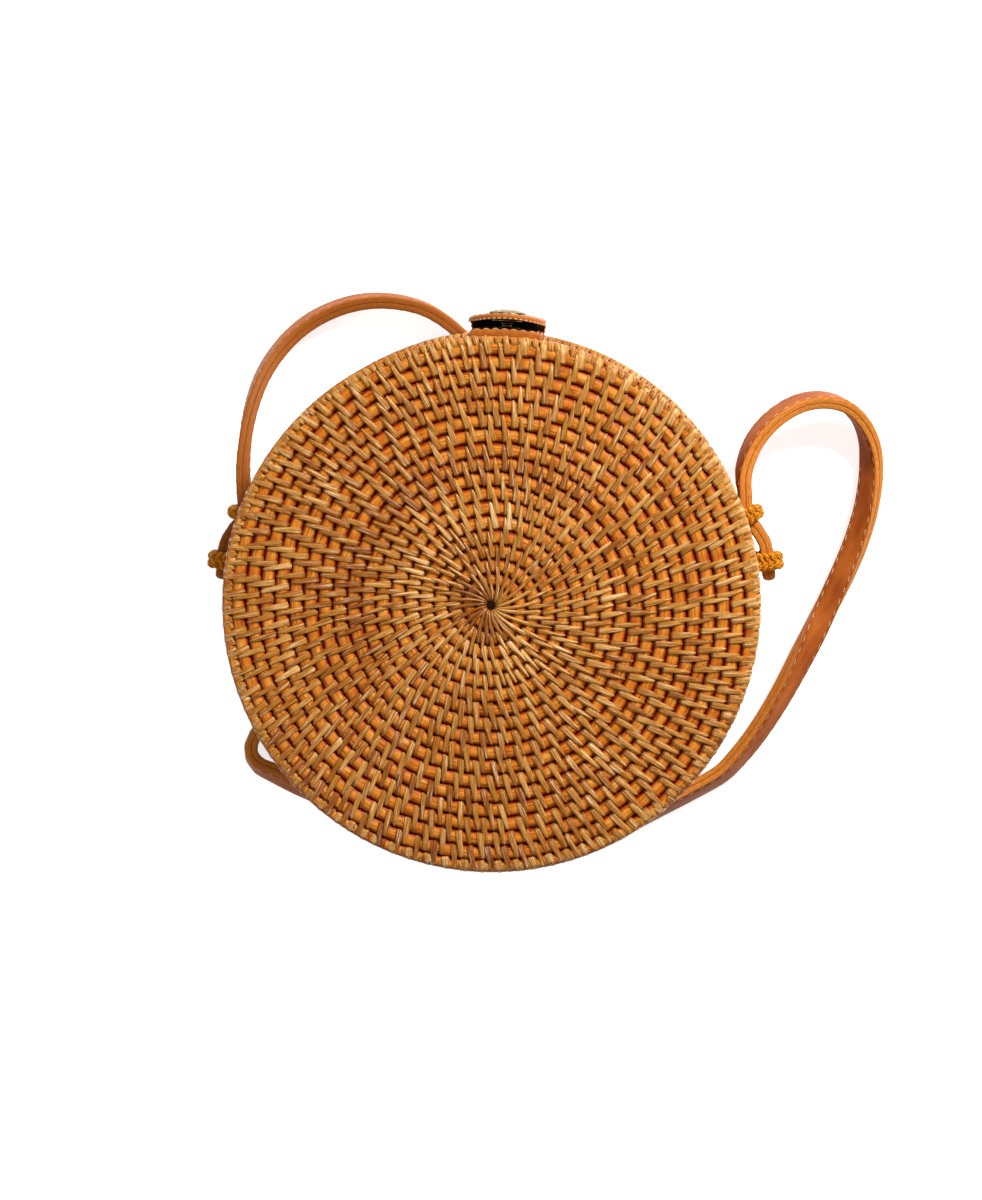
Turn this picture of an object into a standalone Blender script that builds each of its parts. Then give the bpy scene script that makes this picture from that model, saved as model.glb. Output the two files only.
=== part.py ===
"""Round coiled cane crossbody bag, lying on its back with its strap laid round it.

The bag is a clamshell of two round halves. Each half is a coiled panel, a coiled side wall, a
mouth rim and a fabric lining. The halves turn on a cane rod at the bottom, and a leather flap
with a press stud holds them shut at the top. A doubled leather strap is tied to the back half.

Metres, +Z up. The origin is the centre of the front panel's outer face, and +Z points out of it.
+Y is the clasp side and -Y the hinge side. Heights in this file are counted from the back
panel's outer face, and each piece is lowered by the bag's depth as it is made. The strap lies
partly below the bag, so the surface that everything rests on is at TABLE_Z, a strap's width
under the back panel.
"""
import math

import bmesh
import bpy
import numpy as np
from mathutils import Matrix, Vector

# Clearances and fineness
GAP = 0.0003
CUT_OVERRUN = 0.0010
MERGE_DISTANCE = 0.000001
ROUND_STEPS = 64
SMALL_STEPS = 24

# Body of the bag
PANEL_RADIUS = 0.1000
PANEL_THICKNESS = 0.0050
PANEL_EDGE_ROUND = 0.0020
WALL_INSET = 0.0012
WALL_THICKNESS = 0.0044
HALF_DEPTH = 0.0400
MOUTH_RIM_HEIGHT = 0.0050
MOUTH_RIM_ROUND = 0.0012
LINING_THICKNESS = 0.0008
LINING_DROP = 0.0015

# Coil: wound from the hub to the rim of each panel, and stacked in each side wall
COIL_PITCH = 0.0054
HUB_RADIUS = 0.0024
HUB_COVER_RADIUS = 0.0130
COIL_START_DEGREES = 70
COIL_STEPS = 48
PANEL_GROOVE_DEPTH = 0.0020
WALL_GROOVE_DEPTH = 0.0017
WALL_COILS = 6
# Where a turn's groove and crown lie across it, and how much of the groove's depth they have
coil_section_shares = ((0, 1), (0.5, 0))

BACK_Z = -2 * HALF_DEPTH
WALL_RADIUS = PANEL_RADIUS - WALL_INSET
WALL_INNER = WALL_RADIUS - WALL_THICKNESS
WALL_BASE = PANEL_THICKNESS + GAP
RIM_TOP = HALF_DEPTH - GAP / 2
RIM_BASE = RIM_TOP - MOUTH_RIM_HEIGHT
SEAT_RADIUS = WALL_RADIUS + GAP

# Hinge at the bottom: a cane rod held by two loops of the back half, with one loop of the lid
ROD_RADIUS = 0.0011
HINGE_CLEARANCE = 0.0001
LOOP_WALL = 0.0012
OUTER_LOOP_WIDTH = 0.0100
MIDDLE_LOOP_WIDTH = 0.0120
LOOP_FOOT_LENGTH = 0.0230
LOOP_FOOT_THICKNESS = 0.0012
ROD_END_REACH = 0.0015

LOOP_BORE = ROD_RADIUS + HINGE_CLEARANCE
LOOP_RADIUS = LOOP_BORE + LOOP_WALL
HINGE_Y = -(SEAT_RADIUS + LOOP_RADIUS)
OUTER_LOOP_X = (MIDDLE_LOOP_WIDTH + OUTER_LOOP_WIDTH) / 2 + GAP
ROD_LENGTH = MIDDLE_LOOP_WIDTH + 2 * (OUTER_LOOP_WIDTH + GAP + ROD_END_REACH)

# Strap: a doubled leather band on its edge
STRAP_WIDTH = 0.0092
STRAP_THICKNESS = 0.0050
STRAP_CORNER = 0.0007
STRAP_RING_STEP = 0.0052
STRAP_SPAN_SAMPLES = 12
TABLE_Z = -(STRAP_WIDTH + GAP)
STRAP_END_Z = HALF_DEPTH / 2

# Cord ties that hold the strap's ends against the back half's side wall
UPPER_TIE_DEGREES = 17.2
LOWER_TIE_DEGREES = 6.8
STRAP_TIP_DEGREES = 2.6
LOWER_STANDOFF = 0.0038
TIE_LENGTH = 0.0073
TIE_BAND = 0.0034
TIE_CORNER = 0.0022
TIE_CLEARANCE = 0.0005
TIE_RINGS = 5

# Clasp at the top, turned a little off the middle
CLASP_DEGREES = 3.0
TAB_THICKNESS = 0.0036
TAB_WIDTH = 0.0265
TAB_CORNER = 0.0015
TAB_BASE_REACH = 0.0036
FLAP_THICKNESS = 0.0019
FLAP_WIDTH = 0.0269
FLAP_STAND = 0.0039
FLAP_ARCH = 0.0011
FLAP_FOLD_DROP = 0.0100
FLAP_BEND_HEIGHT = 0.0125
FLAP_ROOT_MARGIN = 0.0025
SNAP_END_MARGIN = 0.0175

TAB_BASE_Z = HALF_DEPTH + TAB_BASE_REACH
TAB_TOP_Z = 2 * HALF_DEPTH - PANEL_THICKNESS - GAP
FLAP_FOLD_Z = HALF_DEPTH - FLAP_FOLD_DROP
TAB_OUTER = SEAT_RADIUS + TAB_THICKNESS
FLAP_STEP = TAB_THICKNESS + FLAP_STAND
FLAP_INNER = SEAT_RADIUS + FLAP_STEP
FLAP_OUTER = FLAP_INNER + FLAP_THICKNESS
FOLD_RADIUS = SEAT_RADIUS + FLAP_THICKNESS
SNAP_Z = 2 * HALF_DEPTH - SNAP_END_MARGIN
SNAP_RISE = SNAP_Z - FLAP_FOLD_Z

# Press stud: cap and socket on the flap, stud and post on the lid's tab
CAP_RADIUS = 0.0070
CAP_HEIGHT = 0.0016
CAP_RIM = 0.0005
SHANK_RADIUS = 0.0019
SOCKET_RADIUS = 0.0055
SOCKET_BORE = 0.0026
SOCKET_DEPTH = 0.0007
SOCKET_SEAT = 0.0006
STUD_RADIUS = 0.0050
STUD_FLANGE = 0.0005
STUD_HEAD_RADIUS = 0.0021
POST_RADIUS = 0.0016
POST_FLANGE_RADIUS = 0.0040
POST_FLANGE = 0.0006

SOCKET_TOP = FLAP_INNER - SOCKET_SEAT
SOCKET_FACE = SOCKET_TOP - SOCKET_DEPTH
STUD_BASE = TAB_OUTER + GAP
STUD_HEAD_TOP = SOCKET_FACE - GAP

# Route of the strap from the left tie to the right one. Each row is a place as shares of
# PANEL_RADIUS, the strap's lean in degrees (90 stands on its edge, 0 lies flat) and how far it
# is lifted from the table towards the height of the ties, as a share.
left_arch_shares = [
    (-0.973, 0.406, 90, 1.00), (-0.974, 0.480, 90, 0.98), (-0.971, 0.552, 93, 0.89),
    (-0.960, 0.650, 97, 0.74), (-0.938, 0.748, 101, 0.56), (-0.906, 0.834, 104, 0.38),
    (-0.860, 0.912, 106, 0.22), (-0.801, 0.982, 107, 0.10), (-0.729, 1.040, 107, 0.03),
    (-0.646, 1.083, 105, 0.00), (-0.557, 1.111, 103, 0.00), (-0.466, 1.121, 100, 0.00),
    (-0.373, 1.113, 97, 0.00), (-0.283, 1.088, 93, 0.00), (-0.201, 1.040, 90, 0.00),
]
under_right_shares = [
    (-0.125, 0.975, 90, 0.00), (-0.030, 0.885, 90, 0.00), (0.130, 0.752, 90, 0.00),
    (0.300, 0.600, 90, 0.00), (0.470, 0.400, 90, 0.00), (0.580, 0.170, 90, 0.00),
]
under_left_shares = [
    (0.600, -0.080, 90, 0.00), (0.520, -0.320, 90, 0.00), (0.350, -0.500, 90, 0.00),
    (0.120, -0.600, 90, 0.00), (-0.130, -0.600, 90, 0.00), (-0.360, -0.520, 90, 0.00),
    (-0.540, -0.435, 90, 0.00), (-0.650, -0.415, 90, 0.00),
]
lower_curl_shares = [
    (-0.755, -0.430, 90, 0.00), (-0.845, -0.475, 90, 0.00), (-0.915, -0.537, 89, 0.00),
    (-0.962, -0.607, 87, 0.00), (-0.968, -0.662, 80, 0.00), (-0.937, -0.708, 68, 0.00),
    (-0.880, -0.737, 59, 0.00), (-0.790, -0.782, 56, 0.00), (-0.700, -0.824, 58, 0.00),
    (-0.600, -0.880, 60, 0.00), (-0.490, -0.947, 60, 0.00), (-0.360, -1.004, 60, 0.00),
    (-0.200, -1.049, 60, 0.00),
]
right_run_shares = [
    (-0.030, -1.068, 60, 0.00), (0.140, -1.058, 60, 0.00), (0.300, -1.022, 60, 0.00),
    (0.430, -0.974, 61, 0.00), (0.530, -0.926, 62, 0.00), (0.630, -0.873, 62, 0.00),
    (0.757, -0.806, 62, 0.00), (0.878, -0.736, 61, 0.00), (0.945, -0.669, 57, 0.00),
    (1.005, -0.595, 53, 0.00), (1.059, -0.516, 50, 0.00), (1.108, -0.435, 46, 0.00),
    (1.153, -0.352, 40, 0.00), (1.197, -0.267, 28, 0.00), (1.241, -0.182, 13, 0.00),
    (1.282, -0.098, 0, 0.00), (1.322, -0.014, -10, 0.00), (1.361, 0.071, -20, 0.00),
    (1.397, 0.159, -27, 0.00),
]
right_arch_shares = [
    (1.422, 0.235, -32, 0.00), (1.442, 0.310, -38, 0.00), (1.457, 0.403, -42, 0.00),
    (1.461, 0.488, -48, 0.00), (1.452, 0.572, -63, 0.04), (1.419, 0.651, -79, 0.14),
    (1.360, 0.711, -90, 0.28), (1.276, 0.739, -102, 0.43), (1.186, 0.731, -110, 0.57),
    (1.105, 0.693, -113, 0.71), (1.038, 0.637, -114, 0.82), (0.990, 0.570, -111, 0.89),
    (0.962, 0.493, -105, 0.95), (0.956, 0.439, -99, 0.98), (0.960, 0.393, -94, 1.00),
]
# Between the ties: share of the way from the lower tie to the upper one, and the strap's
# standoff from the wall there as a share of LOWER_STANDOFF.
tie_hump_shares = [(0.32, 1.10), (0.64, 0.60)]
TIP_STANDOFF_SHARE = 1.15

# Rows of the flap's rounded end, as degrees round the press stud
FLAP_END_DEGREES = (20, 40, 58, 72, 83)
FLAP_BEND_ROWS = 6
FLAP_ACROSS = 8


def make_material(name, color, roughness, metallic=0.0):
    """A plain Principled material with the piece's colour."""
    material = bpy.data.materials.new(name)
    material.use_nodes = True
    shader = material.node_tree.nodes["Principled BSDF"]
    shader.inputs["Base Color"].default_value = (*color, 1.0)
    shader.inputs["Roughness"].default_value = roughness
    shader.inputs["Metallic"].default_value = metallic
    material.diffuse_color = (*color, 1.0)
    return material


def add_object(name, bm, material):
    """Close the bmesh into a named object with its own copy of the material."""
    bmesh.ops.translate(bm, vec=(0, 0, BACK_Z), verts=bm.verts)
    bmesh.ops.recalc_face_normals(bm, faces=bm.faces)
    mesh = bpy.data.meshes.new(name)
    bm.to_mesh(mesh)
    bm.free()
    mesh.shade_smooth()
    mesh.set_sharp_from_angle(angle=math.radians(35))
    own = material.copy()
    own.name = name + "_finish"
    mesh.materials.append(own)
    obj = bpy.data.objects.new(name, mesh)
    bpy.context.scene.collection.objects.link(obj)
    return obj


def add_cutter(name, bm):
    """A hidden tool for Boolean cuts."""
    bmesh.ops.translate(bm, vec=(0, 0, BACK_Z), verts=bm.verts)
    bmesh.ops.recalc_face_normals(bm, faces=bm.faces)
    mesh = bpy.data.meshes.new(name)
    bm.to_mesh(mesh)
    bm.free()
    obj = bpy.data.objects.new(name, mesh)
    obj.display_type = 'WIRE'
    obj.hide_render = True
    bpy.context.scene.collection.objects.link(obj)
    return obj


def cut(obj, cutter):
    """Take the cutter's shape out of the object."""
    boolean = obj.modifiers.new("cut_" + cutter.name, 'BOOLEAN')
    boolean.operation = 'DIFFERENCE'
    boolean.solver = 'EXACT'
    boolean.object = cutter


def add_axis(name, place):
    """An empty on a joint's axis, which carries the pieces that turn on it."""
    empty = bpy.data.objects.new(name, None)
    empty.location = Vector(place) + Vector((0, 0, BACK_Z))
    bpy.context.scene.collection.objects.link(empty)
    return empty


def carry(pieces, empty):
    """Parent pieces to a joint's empty and keep them where they are."""
    bpy.context.view_layer.update()
    for piece in pieces:
        piece.parent = empty
        piece.matrix_parent_inverse = empty.matrix_world.inverted()


def turned_mesh(profile, closed, steps):
    """Spin a profile of (radius, height) points round Z into one closed skin."""
    bm = bmesh.new()
    verts = [bm.verts.new((radius, 0, height)) for radius, height in profile]
    edges = [bm.edges.new(pair) for pair in zip(verts, verts[1:])]
    if closed:
        edges.append(bm.edges.new((verts[-1], verts[0])))
    bmesh.ops.spin(bm, geom=verts + edges, axis=(0, 0, 1), cent=(0, 0, 0),
                   angle=math.tau, steps=steps, use_merge=True)
    bmesh.ops.remove_doubles(bm, verts=bm.verts, dist=MERGE_DISTANCE)
    return bm


def extruded_mesh(outline, depth):
    """Extrude a flat (x, y) outline along Z, centred on it."""
    bm = bmesh.new()
    face = bm.faces.new([bm.verts.new((x, y, -depth / 2)) for x, y in outline])
    grown = bmesh.ops.extrude_face_region(bm, geom=[face])
    moved = [item for item in grown["geom"] if isinstance(item, bmesh.types.BMVert)]
    bmesh.ops.translate(bm, vec=(0, 0, depth), verts=moved)
    return bm


def loft_mesh(rings):
    """Join closed rings of points, given as an array of rings, and cap both ends."""
    bm = bmesh.new()
    rows = [[bm.verts.new(point) for point in ring] for ring in rings]
    count = len(rows[0])
    for low, high in zip(rows, rows[1:]):
        for i in range(count):
            j = (i + 1) % count
            bm.faces.new((low[i], low[j], high[j], high[i]))
    bm.faces.new(rows[0][::-1])
    bm.faces.new(rows[-1])
    return bm


def cylinder_mesh(radius, low, high, steps):
    """A plain round bar along Z between two heights."""
    return turned_mesh([(0, low), (radius, low), (radius, high), (0, high)], False, steps)


def mirror_to_lid(profile):
    """The lid is the back half's profile turned over about the mouth plane."""
    return [(radius, 2 * HALF_DEPTH - height) for radius, height in profile]


def held_between(radius, low, high, margin):
    """The radius, moved onto a limit that it passes or comes close to."""
    if radius < low + margin:
        return low
    if radius > high - margin:
        return high
    return radius


def panel_profile(way):
    """Half-section of a panel at a share of a turn after the coil's start: the covered hub, the
    coil's grooves and crowns, the round edge of its last turn and the flat inner face."""
    rounding = PANEL_EDGE_ROUND
    side = PANEL_RADIUS - rounding
    fade = COIL_PITCH / 2
    margin = fade / COIL_STEPS
    profile = [(0, 0)]
    for turn in range(math.ceil((side - HUB_RADIUS) / COIL_PITCH) + 2):
        for along, deep in coil_section_shares:
            radius = HUB_RADIUS + COIL_PITCH * (turn - 1 + way + along)
            radius = held_between(radius, HUB_COVER_RADIUS, side, margin)
            shallow = min(1, (radius - HUB_COVER_RADIUS) / fade, (side - radius) / fade)
            profile.append((radius, deep * shallow * PANEL_GROOVE_DEPTH))
    slope = rounding * (1 - math.sqrt(0.5))
    return profile + [(PANEL_RADIUS - slope, slope), (PANEL_RADIUS, rounding),
                      (PANEL_RADIUS, PANEL_THICKNESS - rounding),
                      (PANEL_RADIUS - slope, PANEL_THICKNESS - slope), (side, PANEL_THICKNESS),
                      (0, PANEL_THICKNESS)]


def panel_mesh(turned_over):
    """A panel whose outer face is one coil, wound clockwise from the hub to the rim. After a
    whole turn each point meets the one that lies a pitch further out, and the two are merged."""
    bm = bmesh.new()
    columns = []
    for i in range(COIL_STEPS + 1):
        way = i / COIL_STEPS
        angle = math.radians(COIL_START_DEGREES) + math.tau * way
        profile = panel_profile(way)
        if turned_over:
            profile = mirror_to_lid(profile)
        columns.append([bm.verts.new((radius * math.sin(angle), radius * math.cos(angle), height))
                        for radius, height in profile])
    for low, high in zip(columns, columns[1:]):
        for k in range(len(low) - 1):
            bm.faces.new((low[k], low[k + 1], high[k + 1], high[k]))
    bmesh.ops.remove_doubles(bm, verts=bm.verts, dist=MERGE_DISTANCE)
    return bm


def wall_profile():
    """Section of the side wall between the panel and the mouth rim: flat inside, and outside
    a crown for each coil with a groove between two."""
    top = RIM_BASE - GAP
    coil = (top - WALL_BASE) / WALL_COILS
    groove = WALL_RADIUS - WALL_GROOVE_DEPTH
    outside = [(WALL_RADIUS, WALL_BASE), (WALL_RADIUS, WALL_BASE + coil / 2)]
    for i in range(1, WALL_COILS):
        outside += [(groove, WALL_BASE + coil * i), (WALL_RADIUS, WALL_BASE + coil * (i + 0.5))]
    return [(WALL_INNER, WALL_BASE)] + outside + [(WALL_RADIUS, top), (WALL_INNER, top)]


def rim_profile():
    """Section of the mouth rim, a coil with rounded corners."""
    c = MOUTH_RIM_ROUND
    return [(WALL_INNER, RIM_BASE), (WALL_RADIUS, RIM_BASE), (WALL_RADIUS, RIM_TOP - c),
            (WALL_RADIUS - c, RIM_TOP), (WALL_INNER + c, RIM_TOP), (WALL_INNER, RIM_TOP - c)]


def lining_profile():
    """Section of the fabric cup inside a half, from the outer floor to the inner one."""
    outer = WALL_INNER - GAP
    inner = outer - LINING_THICKNESS
    low = PANEL_THICKNESS + GAP
    floor = low + LINING_THICKNESS
    top = HALF_DEPTH - LINING_DROP
    return [(0, low), (outer, low), (outer, top), (inner, top), (inner, floor), (0, floor)]


def build_halves(cane, fabric):
    """Both halves of the clamshell. Returns the pieces that belong to the lid."""
    add_object("back_panel", panel_mesh(False), cane)
    lid = [add_object("front_panel", panel_mesh(True), cane)]
    sections = [("side_wall", wall_profile(), True, cane),
                ("mouth_rim", rim_profile(), True, cane),
                ("lining", lining_profile(), False, fabric)]
    for part, profile, closed, material in sections:
        add_object("back_" + part, turned_mesh(profile, closed, ROUND_STEPS), material)
        mesh = turned_mesh(mirror_to_lid(profile), closed, ROUND_STEPS)
        lid.append(add_object("front_" + part, mesh, material))
    return lid


def loop_outline():
    """Side view of a hinge loop: a round eye with a foot that runs along the wall."""
    foot_outer = LOOP_RADIUS + GAP - LOOP_FOOT_THICKNESS
    foot_seat = LOOP_RADIUS + CUT_OVERRUN
    start = math.acos(foot_outer / LOOP_RADIUS)
    sweep = math.tau - start
    eye = [(LOOP_RADIUS * math.cos(start + sweep * i / SMALL_STEPS),
            LOOP_RADIUS * math.sin(start + sweep * i / SMALL_STEPS))
           for i in range(SMALL_STEPS + 1)]
    return eye + [(foot_seat, 0), (foot_seat, LOOP_FOOT_LENGTH),
                  (foot_outer, LOOP_FOOT_LENGTH)]


def build_loop(name, x, width, up, wall_cutter, bore_cutter, material):
    """One hinge loop: its eye round the rod and its foot up or down along the wall."""
    bm = extruded_mesh(loop_outline(), width)
    # The outline's x becomes +Y and its y becomes +Z or -Z, with the width along X.
    turn = Matrix(((0, 0, 1), (1, 0, 0), (0, 1, 0))).to_4x4()
    flip = Matrix.Diagonal((1, 1, 1 if up else -1, 1))
    place = Matrix.Translation((x, HINGE_Y, HALF_DEPTH))
    bmesh.ops.transform(bm, matrix=place @ flip @ turn, verts=bm.verts)
    loop = add_object(name, bm, material)
    cut(loop, wall_cutter)
    cut(loop, bore_cutter)
    return loop


def build_hinge(wall_cutter, material):
    """Cane rod, the back half's two loops and the lid's loop between them."""
    along_x = Matrix.Translation((0, HINGE_Y, HALF_DEPTH)) @ Matrix.Rotation(math.pi / 2, 4, 'Y')
    reach = ROD_LENGTH / 2
    rod = cylinder_mesh(ROD_RADIUS, -reach, reach, SMALL_STEPS)
    bmesh.ops.transform(rod, matrix=along_x, verts=rod.verts)
    add_object("hinge_rod", rod, material)
    bore = cylinder_mesh(LOOP_BORE, -reach - CUT_OVERRUN, reach + CUT_OVERRUN, SMALL_STEPS)
    bmesh.ops.transform(bore, matrix=along_x, verts=bore.verts)
    bore_cutter = add_cutter("bore_cutter", bore)
    for name, side in (("hinge_loop_left", -1), ("hinge_loop_right", 1)):
        build_loop(name, side * OUTER_LOOP_X, OUTER_LOOP_WIDTH, False, wall_cutter,
                   bore_cutter, material)
    return [build_loop("hinge_loop_middle", 0, MIDDLE_LOOP_WIDTH, True, wall_cutter,
                       bore_cutter, material)]


def half_height(lean_degrees):
    """How far the strap's section reaches above its middle at a lean."""
    rise = np.abs(np.sin(np.radians(lean_degrees)))
    run = np.abs(np.cos(np.radians(lean_degrees)))
    half_w = STRAP_WIDTH / 2
    half_t = STRAP_THICKNESS / 2
    return np.maximum(half_w * rise + (half_t - STRAP_CORNER) * run,
                      (half_w - STRAP_CORNER) * rise + half_t * run)


def route_point(row):
    """A row of shares as (x, y, z, lean)."""
    x_share, y_share, lean, lift = row
    lying = TABLE_Z + half_height(lean)
    height = lying + lift * (STRAP_END_Z - lying)
    return [x_share * PANEL_RADIUS, y_share * PANEL_RADIUS, height, lean]


def tied_points(side, lean):
    """The strap's end on one side, from its tip under both ties (side is -1 or 1)."""
    middle = SEAT_RADIUS + STRAP_THICKNESS / 2
    span = UPPER_TIE_DEGREES - LOWER_TIE_DEGREES
    places = [(STRAP_TIP_DEGREES, LOWER_STANDOFF * TIP_STANDOFF_SHARE),
              (LOWER_TIE_DEGREES, LOWER_STANDOFF)]
    places += [(LOWER_TIE_DEGREES + way * span, LOWER_STANDOFF * out)
               for way, out in tie_hump_shares]
    places.append((UPPER_TIE_DEGREES, 0))
    points = []
    for degrees, standoff in places:
        angle = math.radians(degrees)
        radius = middle + standoff
        points.append([side * radius * math.cos(angle), radius * math.sin(angle),
                       STRAP_END_Z, lean])
    return points


def strap_stretches():
    """Control points of each stretch, in order from the left tip to the right tip."""
    left = tied_points(-1, 90) + [route_point(row) for row in left_arch_shares]
    right = [route_point(row) for row in right_arch_shares] + tied_points(1, -90)[::-1]
    return [("strap_left_arch", left),
            ("strap_under_right", [route_point(row) for row in under_right_shares]),
            ("strap_under_left", [route_point(row) for row in under_left_shares]),
            ("strap_lower_curl", [route_point(row) for row in lower_curl_shares]),
            ("strap_right_run", [route_point(row) for row in right_run_shares]),
            ("strap_right_arch", right)]


def smooth_route(points):
    """Catmull-Rom curve through (x, y, z, lean) points, sampled evenly in each span."""
    p = np.array(points, float)
    ext = np.vstack([2 * p[0] - p[1], p, 2 * p[-1] - p[-2]])
    t = np.linspace(0, 1, STRAP_SPAN_SAMPLES, endpoint=False)[:, None]
    spans = []
    for i in range(len(p) - 1):
        a, b, c, d = ext[i:i + 4]
        spans.append(0.5 * (2 * b + (c - a) * t + (2 * a - 5 * b + 4 * c - d) * t ** 2
                            + (3 * b - a - 3 * c + d) * t ** 3))
    line = np.vstack(spans + [p[-1:]])
    line[:, 2] = np.maximum(line[:, 2], TABLE_Z + half_height(line[:, 3]))
    return line


def strap_route():
    """Whole centre line with its running length, and where each stretch starts and ends."""
    stretches = strap_stretches()
    line = smooth_route([point for _, points in stretches for point in points])
    steps = np.linalg.norm(np.diff(line[:, :3], axis=0), axis=1)
    length = np.concatenate([[0], np.cumsum(steps)])
    bounds = []
    first = 0
    for name, points in stretches:
        last = first + len(points)
        start = 0 if first == 0 else first * STRAP_SPAN_SAMPLES
        end = min(last * STRAP_SPAN_SAMPLES, len(line) - 1)
        bounds.append((name, length[start], length[end]))
        first = last
    return line, length, bounds


def frames_at(line, length, places):
    """Centre, direction, width vector and face normal of the strap at running lengths."""
    middle = np.stack([np.interp(places, length, line[:, k]) for k in range(3)], axis=1)
    lean = np.radians(np.interp(places, length, line[:, 3]))
    slope = np.gradient(line[:, :3], length, axis=0)
    along = np.stack([np.interp(places, length, slope[:, k]) for k in range(3)], axis=1)
    along /= np.linalg.norm(along, axis=1)[:, None]
    side = np.cross([0, 0, 1], along)
    side /= np.linalg.norm(side, axis=1)[:, None]
    rise = np.cross(along, side)
    width = np.cos(lean)[:, None] * side + np.sin(lean)[:, None] * rise
    return middle, along, width, np.cross(along, width)


def strap_section():
    """Rectangle with cut corners, as (across, through) points."""
    w = STRAP_WIDTH / 2
    t = STRAP_THICKNESS / 2
    c = STRAP_CORNER
    return [(w, t - c), (w - c, t), (c - w, t), (-w, t - c),
            (-w, c - t), (c - w, -t), (w - c, -t), (w, c - t)]


def end_places(start, end, first, last):
    """Even ring places along a stretch, with closer rings at a rounded tip."""
    tip = STRAP_WIDTH / 2
    low = start + (tip if first else GAP / 2)
    high = end - (tip if last else GAP / 2)
    count = max(2, round((high - low) / STRAP_RING_STEP) + 1)
    places = list(np.linspace(low, high, count))
    scale = [1.0] * count
    tip_rows = [(1 - math.sin(math.radians(a)), math.cos(math.radians(a)))
                for a in (76, 52, 26)]
    if first:
        places = [start + tip * share for share, _ in tip_rows] + places
        scale = [narrow for _, narrow in tip_rows] + scale
    if last:
        places += [end - tip * share for share, _ in tip_rows[::-1]]
        scale += [narrow for _, narrow in tip_rows[::-1]]
    return np.array(places), np.array(scale)


def build_strap(line, length, bounds, material):
    """Each stretch of the strap as its own solid, lofted along the route."""
    section = np.array(strap_section())
    for index, (name, start, end) in enumerate(bounds):
        places, scale = end_places(start, end, index == 0, index == len(bounds) - 1)
        middle, _, width, normal = frames_at(line, length, places)
        across = section[:, 0][None, :, None] * scale[:, None, None]
        through = section[:, 1][None, :, None]
        rings = middle[:, None] + across * width[:, None] + through * normal[:, None]
        add_object(name, loft_mesh(rings), material)
    print(f"strap length {length[-1]:.3f} m")


def tie_outline(leg):
    """A tie seen along the strap: a band over the strap with two legs down to the wall."""
    inner_w = STRAP_WIDTH / 2 + TIE_CLEARANCE
    inner_h = STRAP_THICKNESS / 2 + TIE_CLEARANCE
    outer_w = inner_w + TIE_BAND
    outer_h = inner_h + TIE_BAND
    c = TIE_CORNER
    return np.array([(-outer_w, leg), (-inner_w, leg), (-inner_w, inner_h), (inner_w, inner_h),
                     (inner_w, leg), (outer_w, leg), (outer_w, outer_h - c),
                     (outer_w - c, outer_h), (c - outer_w, outer_h), (-outer_w, outer_h - c)])


def build_ties(line, length, wall_cutter, material):
    """Four ties, each following the strap where it crosses it."""
    azimuth = np.degrees(np.arctan2(line[:, 1], np.abs(line[:, 0])))
    tied = np.abs(line[:, 2] - STRAP_END_Z) < GAP
    for side_name, side in (("left", -1), ("right", 1)):
        for height_name, degrees in (("upper", UPPER_TIE_DEGREES), ("lower", LOWER_TIE_DEGREES)):
            near = np.where(tied & (line[:, 0] * side > 0), np.abs(azimuth - degrees), np.inf)
            centre = length[int(np.argmin(near))]
            places = centre + TIE_LENGTH * np.linspace(-0.5, 0.5, TIE_RINGS)
            middle, along, _, _ = frames_at(line, length, places)
            rings = []
            for point, direction in zip(middle, along):
                outward = np.cross((0, 0, 1), direction)
                outward *= np.sign(outward @ point) / np.linalg.norm(outward)
                reach = SEAT_RADIUS - CUT_OVERRUN - math.hypot(point[0], point[1])
                outline = tie_outline(reach)
                across = outline[:, :1] * np.array((0, 0, 1))
                rings.append(point + across + outline[:, 1:] * outward)
            tie = add_object(f"tie_{side_name}_{height_name}", loft_mesh(rings), material)
            cut(tie, wall_cutter)


def clasp_turn():
    """The clasp is modelled on +Y and turned a little to the right, seen from the front."""
    return Matrix.Rotation(-math.radians(CLASP_DEGREES), 4, 'Z')


def outward_turn(height):
    """Lay a piece turned round Z so that its axis points out of the clasp at a height."""
    return clasp_turn() @ Matrix.Translation((0, 0, height)) @ Matrix.Rotation(-math.pi / 2, 4, 'X')


def leather_patch(low, high, half, face_radius):
    """A flat leather piece curved to the wall, with cut corners at its lower end and top."""
    c = TAB_CORNER
    rings = []
    for height, width in ((low, half - c), (low + c, half), (high - c, half), (high, half - c)):
        inner = []
        outer = []
        for i in range(FLAP_ACROSS + 1):
            angle = width * (2 * i / FLAP_ACROSS - 1) / SEAT_RADIUS
            for points, radius in ((inner, SEAT_RADIUS), (outer, face_radius)):
                points.append((radius * math.sin(angle), radius * math.cos(angle), height))
        rings.append(inner + outer[::-1])
    bm = loft_mesh(rings)
    bmesh.ops.transform(bm, matrix=clasp_turn(), verts=bm.verts)
    return bm


def flap_rows():
    """Heights and half widths of the flap from its fold to its rounded end."""
    half = FLAP_WIDTH / 2
    start = FLAP_FOLD_Z + GAP / 2
    bend = [start + FLAP_BEND_HEIGHT * i / FLAP_BEND_ROWS for i in range(FLAP_BEND_ROWS + 1)]
    rows = [(height, half) for height in bend]
    rows.append(((bend[-1] + SNAP_Z) / 2, half))
    rows.append((SNAP_Z, half))
    for degrees in FLAP_END_DEGREES:
        angle = math.radians(degrees)
        rows.append((SNAP_Z + half * math.sin(angle), half * math.cos(angle)))
    return rows


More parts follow.
